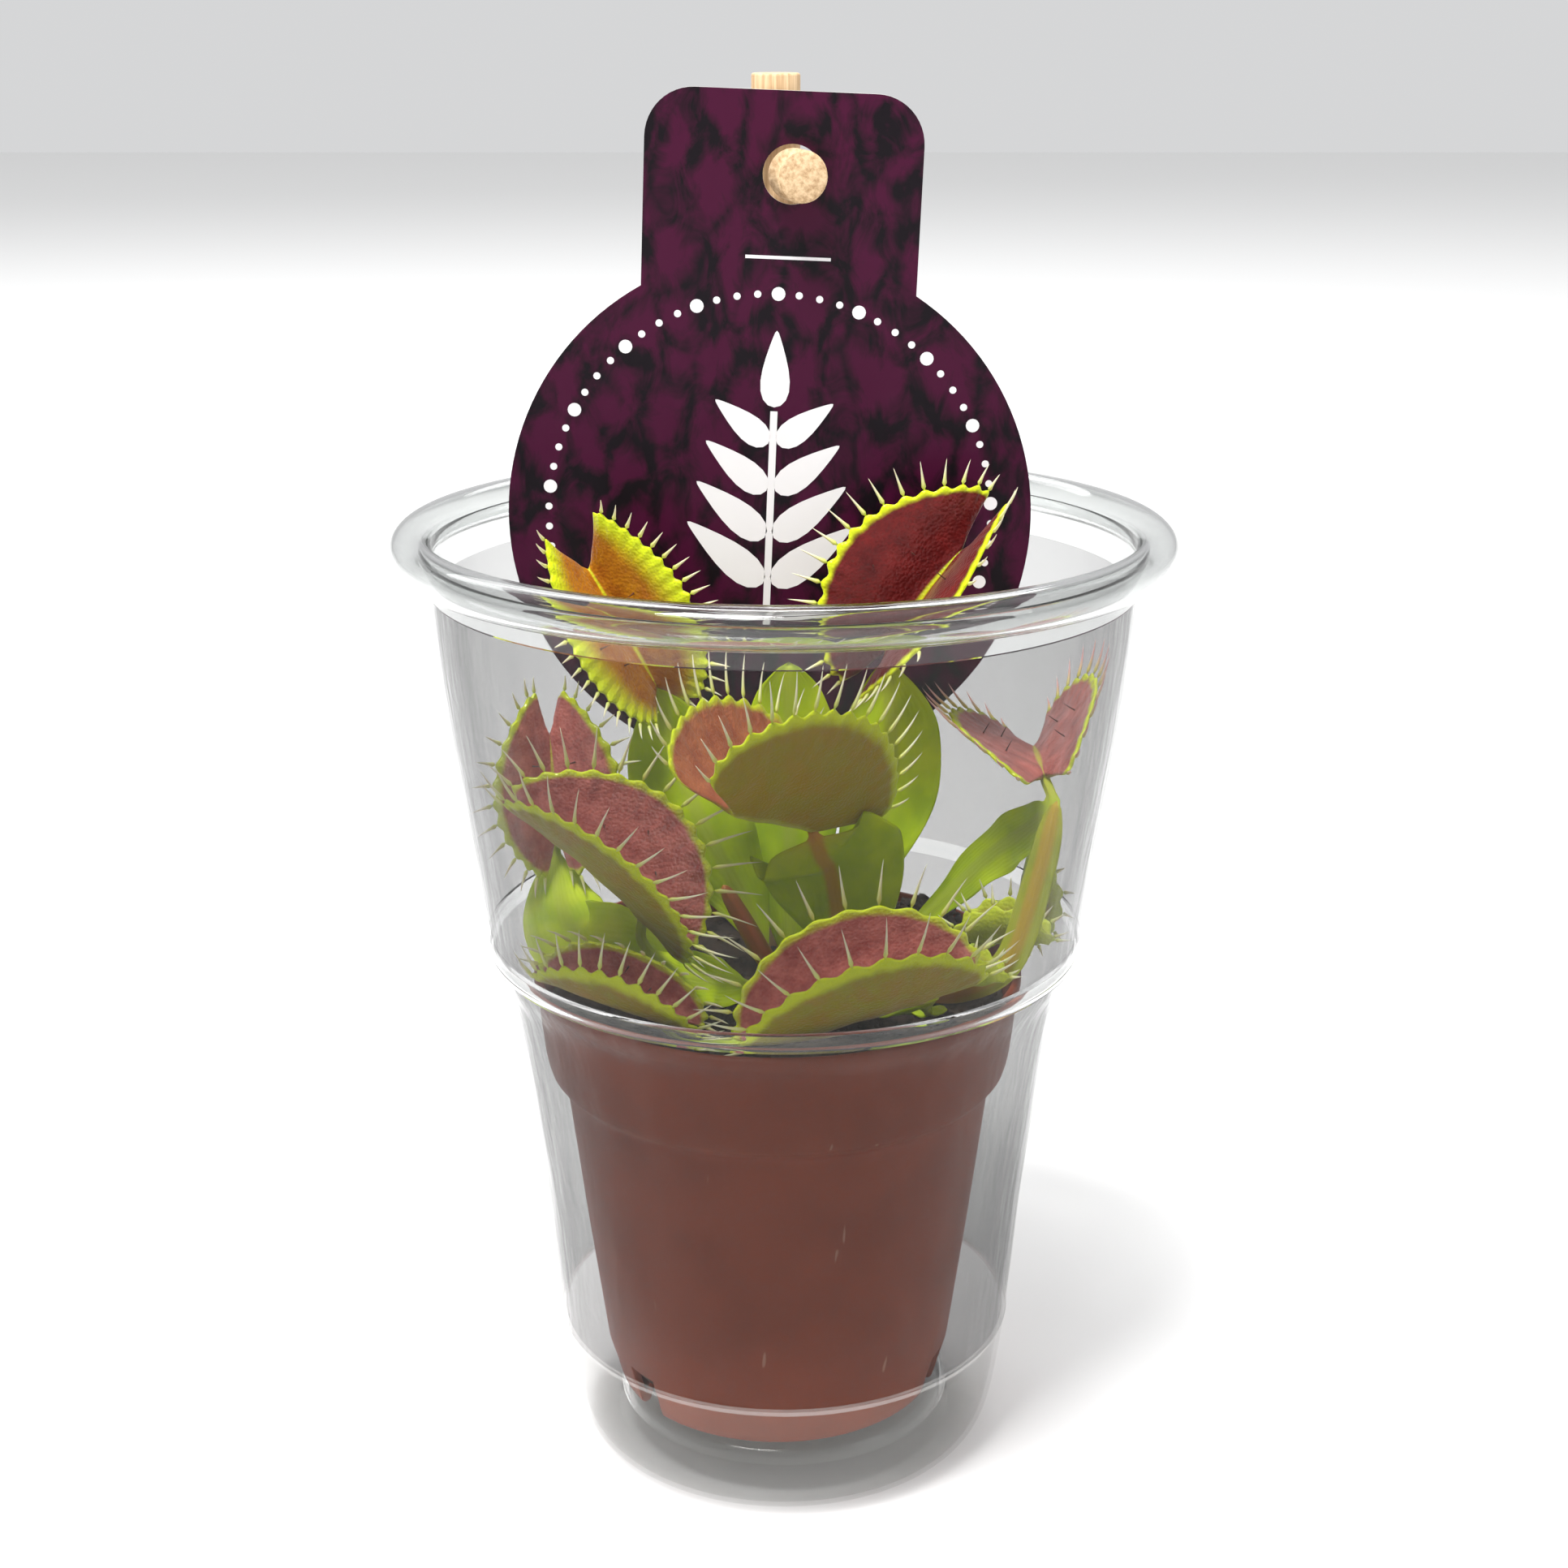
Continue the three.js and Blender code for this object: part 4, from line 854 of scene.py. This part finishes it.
def trap_place(trap):
    """The matrix that takes a trap from its own axes to its place in the rosette."""
    tip = Vector(trap["tip"]).normalized()
    mouth = Vector(trap["mouth"])
    mouth = (mouth - tip * mouth.dot(tip)).normalized()
    side = mouth.cross(tip)
    axes = Matrix((tip, side, mouth)).transposed().to_4x4()
    return Matrix.Translation(Vector(trap["at"]) * MM) @ axes


TOOTH_THICK = 0.25 * MM
TOOTH_SHRINK = 0.45
TOOTH_BOW = 0.16
HAIR_LENGTH = 2.1 * MM
HAIR_THICK = 0.13 * MM
HAIR_BOW = 0.1
INSIDE, OUTSIDE, TOOTH, HAIR = range(4)


def add_trap(name, trap):
    """Makes one trap with its teeth and trigger hairs."""
    surface = lobe_surface(trap)
    bm = bmesh.new()
    wrapped_sheet(bm, 7 * trap["teeth"], 60, trap_skin(trap, surface))
    first_tooth = len(bm.faces)
    for tooth in range(trap["teeth"]):
        for side in (-1, 1):
            u = -1 + 2 * (tooth + 0.5 + side * 0.25) / trap["teeth"]
            foot = surface(u, side)
            normal = lobe_normal(surface, u, side * 0.98)
            outwards = (foot - surface(u, side * 0.55)).normalized()
            outwards = (outwards + normal * trap["tilt"]).normalized()
            margin_line = surface(u + 0.02, side) - surface(u - 0.02, side)
            far = abs(-1 + 2 * (tooth + 0.5) / trap["teeth"])
            length = trap["tooth"] * MM * (1 - TOOTH_SHRINK * far ** 3)
            skin = spine_skin(foot, outwards, margin_line.normalized(), length, TOOTH_THICK,
                              side * TOOTH_BOW)
            wrapped_sheet(bm, 7, 6, skin)
    first_hair = len(bm.faces)
    for side in (-1, 1):
        for u, w in trigger_places:
            foot = surface(u, side * w)
            normal = lobe_normal(surface, u, side * w)
            skin = spine_skin(foot, normal, Vector((1, 0, 0)), HAIR_LENGTH, HAIR_THICK, HAIR_BOW)
            wrapped_sheet(bm, 6, 6, skin)
    values = bm.verts.layers.float_color["place"]
    bm.faces.ensure_lookup_table()
    for index, face in enumerate(bm.faces):
        if index < first_tooth:
            inside = sum(vertex[values][2] for vertex in face.verts) > len(face.verts) / 2
            face.material_index = INSIDE if inside else OUTSIDE
        else:
            face.material_index = TOOTH if index < first_hair else HAIR
    bmesh.ops.transform(bm, matrix=trap_place(trap), verts=bm.verts)
    bmesh.ops.recalc_face_normals(bm, faces=bm.faces)
    teeth = trap.get("teeth_skin", pale_teeth)
    add_piece("snap_" + name, bm, [*trap["skins"], teeth, trigger_hair], trap["slot"], "trap_" + name)


# The rosette: every leaf with its root in the ring round the crown, the points its rib passes
# through, the way its upper side looks, and its trap. Places are in millimetres, as on the plant.
leaves = {
    "front": {
        "root": (6, -62), "path": [(7.5, -12, 62.9), (13.8, -17.6, 65)], "face": (0, 0, 1),
        "wing": 2.3, "from": 0.35, "to": 0.85, "skew": 1.1, "skin": blade_green,
        "trap": {
            "at": (9.5, -23.9, 67.4), "tip": (-0.97, -0.17, -0.24), "mouth": (-0.2, -0.34, 1),
            "keel": 14.5, "reach": 13, "opening": 21, "curl": 20, "fan": 80, "tip_ear": 0.42,
            "stalk_ear": 0.36, "teeth": 13, "tooth": 6.3, "droop": 0.6, "tilt": 0.1,
            "enter": (-0.5, -0.75, -0.6), "skins": maroon_skins, "slot": "trap_red",
        },
    },
    "left_front": {
        "root": (6.3, -138), "path": [(-8.5, -9, 65.2), (-13.4, -12.6, 67.6)], "face": (0.2, -0.75, 0.65),
        "wing": 3.8, "from": 0.32, "to": 0.84, "skew": 0.9, "skin": blade_green,
        "trap": {
            "at": (-21.5, -13.5, 80.8), "tip": (-20, -1, 20), "mouth": (0.63, -0.44, 0.62), "keel": 15.5,
            "reach": 12.5, "opening": 29, "curl": 12, "fan": 74, "tip_ear": 0.45, "stalk_ear": 0.3,
            "teeth": 17, "tooth": 6.5, "droop": 2.6, "tilt": 0.2, "skins": maroon_skins, "slot": "trap_red",
        },
    },
    "left": {
        "root": (6.5, -172), "path": [(-13, -5, 65.5), (-20, -10.5, 70), (-25.6, -9.7, 70.9)],
        "face": (0.15, -0.8, 0.6), "wing": 5.8, "from": 0.28, "to": 0.9, "skew": 1.1, "skin": blade_pale_and_painted_light,
        "trap": {
            "at": (-28.6, -1.6, 88.3), "tip": (-0.05, 0.1, 1), "mouth": (0.2, -1, 0.1), "keel": 12.8,
            "reach": 9.7, "opening": 53, "curl": -12, "fan": 64, "tip_ear": 0.5, "stalk_ear": 0.28,
            "teeth": 14, "tooth": 3.6, "droop": 1, "tilt": 0.2, "skins": maroon_skins, "slot": "trap_red",
        },
    },
    "back_left": {
        "root": (3.4, 140), "path": [(-4.8, 4.4, 70), (-10.8, 2.2, 83)], "face": (0.1, -0.95, 0.3),
        "wing": 7.2, "from": 0.22, "to": 0.95, "skew": 1.3, "skin": blade_green,
        "trap": {
            "at": (-19.8, 3, 107.2), "tip": (-0.48, 0.05, 0.87), "mouth": (0.24, -0.95, 0.25), "keel": 17,
            "reach": 10.8, "opening": 45, "curl": -8, "fan": 41, "tip_ear": 0.86, "stalk_ear": 0.22,
            "teeth": 18, "tooth": 3.5, "droop": 1.2, "tilt": 0.2, "skins": orange_skins,
            "slot": "trap_orange",
        },
    },
    "back_right": {
        "root": (3.6, 30), "path": [(9, 4, 73), (13.5, 3.5, 87)], "face": (-0.25, -0.95, 0.3),
        "wing": 6.6, "from": 0.25, "to": 0.95, "skew": 1.5, "skin": blade_green,
        "trap": {
            "at": (17, 4.8, 110.3), "tip": (0.6, 0.1, 0.8), "mouth": (-0.5, -0.75, 0.45), "keel": 15.5,
            "reach": 12.5, "opening": 46, "curl": -10, "fan": 66, "tip_ear": 0.6, "stalk_ear": 0.3,
            "teeth": 18, "tooth": 4, "droop": 2, "tilt": 0.2, "skins": crimson_skins, "slot": "trap_red",
        },
    },
    "centre": {
        "root": (3, -60), "path": [(6.4, -4, 68), (5.6, -8, 79.5)], "face": (0, -1, 0.2),
        "wing": 9.6, "from": 0.34, "to": 0.97, "skew": 1.4, "wing_power": 0.6, "heart": 0.75,
        "arch": -0.06, "skin": blade_orange_rib,
        "trap": {
            "at": (-1, -15, 88.8), "tip": (-0.66, -0.66, 0.36), "mouth": (0.16, 0.3, 0.93), "keel": 15,
            "reach": 16.5, "opening": 33, "curl": 14, "fan": 56, "tip_ear": 0.4, "stalk_ear": 0.5,
            "teeth": 17, "tooth": 5.6, "droop": 1.6, "tilt": 0.2, "skins": russet_skins, "slot": "trap_red",
        },
    },
    "right": {
        "root": (7, 15), "path": [(16, 4.2, 66.8), (25.5, 1, 77.5)], "face": (-0.55, -0.7, 0.45),
        "wing": 3.8, "from": 0.35, "to": 0.95, "skew": 1.5, "skin": blade_green,
        "trap": {
            "at": (31.6, 0.2, 91.3), "tip": (0, 1, -0.03), "mouth": (-0.26, 0.03, 0.97), "keel": 12.6,
            "reach": 12.4, "opening": 47, "curl": 8, "fan": 58, "tip_ear": 0.5, "stalk_ear": 0.45,
            "teeth": 13, "tooth": 4.6, "droop": 1.4, "tilt": 0.2, "skins": maroon_skins, "slot": "trap_red",
            "teeth_skin": pink_teeth,
        },
    },
    "small_closed": {
        "root": (7, -22), "path": [(14, -2.6, 63.4), (21, -5, 65.8)], "face": (0, 0, 1),
        "wing": 2, "from": 0.3, "to": 0.9, "skew": 1.3, "skin": blade_green,
        "trap": {
            "at": (27, -8, 70.7), "tip": (0.95, -0.2, 0.05), "mouth": (-0.1, 0.1, 1), "keel": 6,
            "reach": 5.4, "opening": 18, "curl": 24, "fan": 76, "tip_ear": 0.45, "stalk_ear": 0.4,
            "teeth": 7, "tooth": 2.8, "droop": 0.8, "tilt": 0.3, "skins": green_skins, "slot": "trap_green",
        },
    },
    "small_right": {
        "root": (10.6, 12), "path": [(18, 3.5, 63.5), (26, 2.4, 65.6)], "face": (0, 0, 1),
        "wing": 2.2, "from": 0.3, "to": 0.9, "skew": 1.3, "skin": blade_green,
        "trap": {
            "at": (30.6, 0.8, 72), "tip": (0.1, 0, 1), "mouth": (0.7, -0.7, 0), "keel": 7, "reach": 4.9,
            "opening": 30, "curl": 16, "fan": 70, "tip_ear": 0.45, "stalk_ear": 0.4, "teeth": 7,
            "tooth": 1.8, "droop": 0.6, "tilt": 0.3, "skins": green_skins, "slot": "trap_green",
        },
    },
    "low_left": {
        "root": (6.5, -105), "path": [(-2.6, -13, 61.9), (-4.4, -20, 62.4)], "face": (0, 0, 1),
        "wing": 2.8, "from": 0.25, "to": 0.9, "skew": 1.3, "skin": blade_green,
        "trap": {
            "at": (-19.6, -19.3, 67), "tip": (-0.95, 0.3, 0.22), "mouth": (0.1, -0.5, 1), "keel": 13,
            "reach": 7.8, "opening": 12, "curl": 34, "fan": 78, "tip_ear": 0.4, "stalk_ear": 0.35,
            "teeth": 14, "tooth": 4.5, "droop": 0.8, "tilt": 0.55, "skins": maroon_skins,
            "slot": "trap_red",
        },
    },
    "small_front": {
        "root": (9.8, -49), "path": [(12.6, -11, 62.6), (18.6, -15.2, 63.8)], "face": (0, 0, 1),
        "wing": 1.8, "from": 0.3, "to": 0.9, "skew": 1.3, "skin": blade_green,
        "trap": {
            "at": (21.4, -17, 68.8), "tip": (0.95, -0.12, 0.1), "mouth": (-0.1, 0.1, 1), "keel": 5.5,
            "reach": 4.6, "opening": 16, "curl": 22, "fan": 76, "tip_ear": 0.45, "stalk_ear": 0.4,
            "teeth": 7, "tooth": 2.2, "droop": 0.6, "tilt": 0.3, "skins": green_skins, "slot": "trap_green",
        },
    },
    "young": {
        "root": (10.6, -31),
        "path": [(15.5, -7.6, 63), (22, -12, 65.4), (27, -15, 70), (30.4, -15.6, 81), (32.3, -15.6, 91)],
        "face": (-0.5, -0.8, 0.2), "wing": 2.3, "from": 0.3, "to": 1.12, "skew": 1.1, "rib": 2.6,
        "closed_tip": True, "wave": 0, "heart": 0, "skin": finger_skin,
    },
    "red_shoot": {
        "root": (2, -137), "path": [(-3.6, -2.6, 68), (-7.6, -5, 76.5)], "face": (0, -1, 0.3),
        "wing": 1.5, "from": 0.2, "to": 1.1, "skew": 1, "rib": 2.4, "closed_tip": True, "wave": 0,
        "heart": 0, "skin": shoot_skin, "slot": "shoot_red",
    },
    "back": {
        "root": (4.2, 88), "path": [(0.8, 8.8, 76), (0.8, 9.2, 90), (0.6, 8.6, 101.5)],
        "face": (0, -1, 0.2), "wing": 6.8, "from": 0.2, "to": 1.04, "skew": 1.1, "closed_tip": True,
        "skin": blade_green,
    },
}
crown = Vector((0.5, 2, 60))
root_depth = 7
stalk_enter = (-0.64, 0, -0.77)
enter_length = 3

for name, leaf in leaves.items():
    ring, direction = leaf["root"]
    ring_angle = math.radians(direction)
    root = crown + Vector((ring * math.cos(ring_angle), ring * math.sin(ring_angle), 0))
    points = [root - Vector((0, 0, root_depth)), root + Vector((0, 0, 1))]
    points += [Vector(point) for point in leaf["path"]]
    points = [point * MM for point in points]
    if "trap" in leaf:
        trap = leaf["trap"]
        end = -trap["keel"] / 2
        drop = trap["droop"] * (end / (end - trap["reach"] * 0.5)) ** 2
        joint = Vector((end, 0, -drop - 1.0))
        enter = Vector(trap.get("enter", stalk_enter)).normalized()
        matrix = trap_place(trap)
        points.append(matrix @ ((joint + enter * enter_length) * MM))
        points.append(matrix @ ((joint + Vector((0.5, 0, 0.5))) * MM))
        add_trap(name, trap)
    blade_bm = bmesh.new()
    wrapped_sheet(blade_bm, BLADE_ROWS, BLADE_COLUMNS, blade_skin(leaf, points))
    holes = [edge for edge in blade_bm.edges if edge.is_boundary]
    bmesh.ops.holes_fill(blade_bm, edges=holes, sides=0)
    bmesh.ops.recalc_face_normals(blade_bm, faces=blade_bm.faces)
    add_piece("blade_" + name, blade_bm, [leaf["skin"]], leaf.get("slot", "leaf_green"), "leaf_" + name)
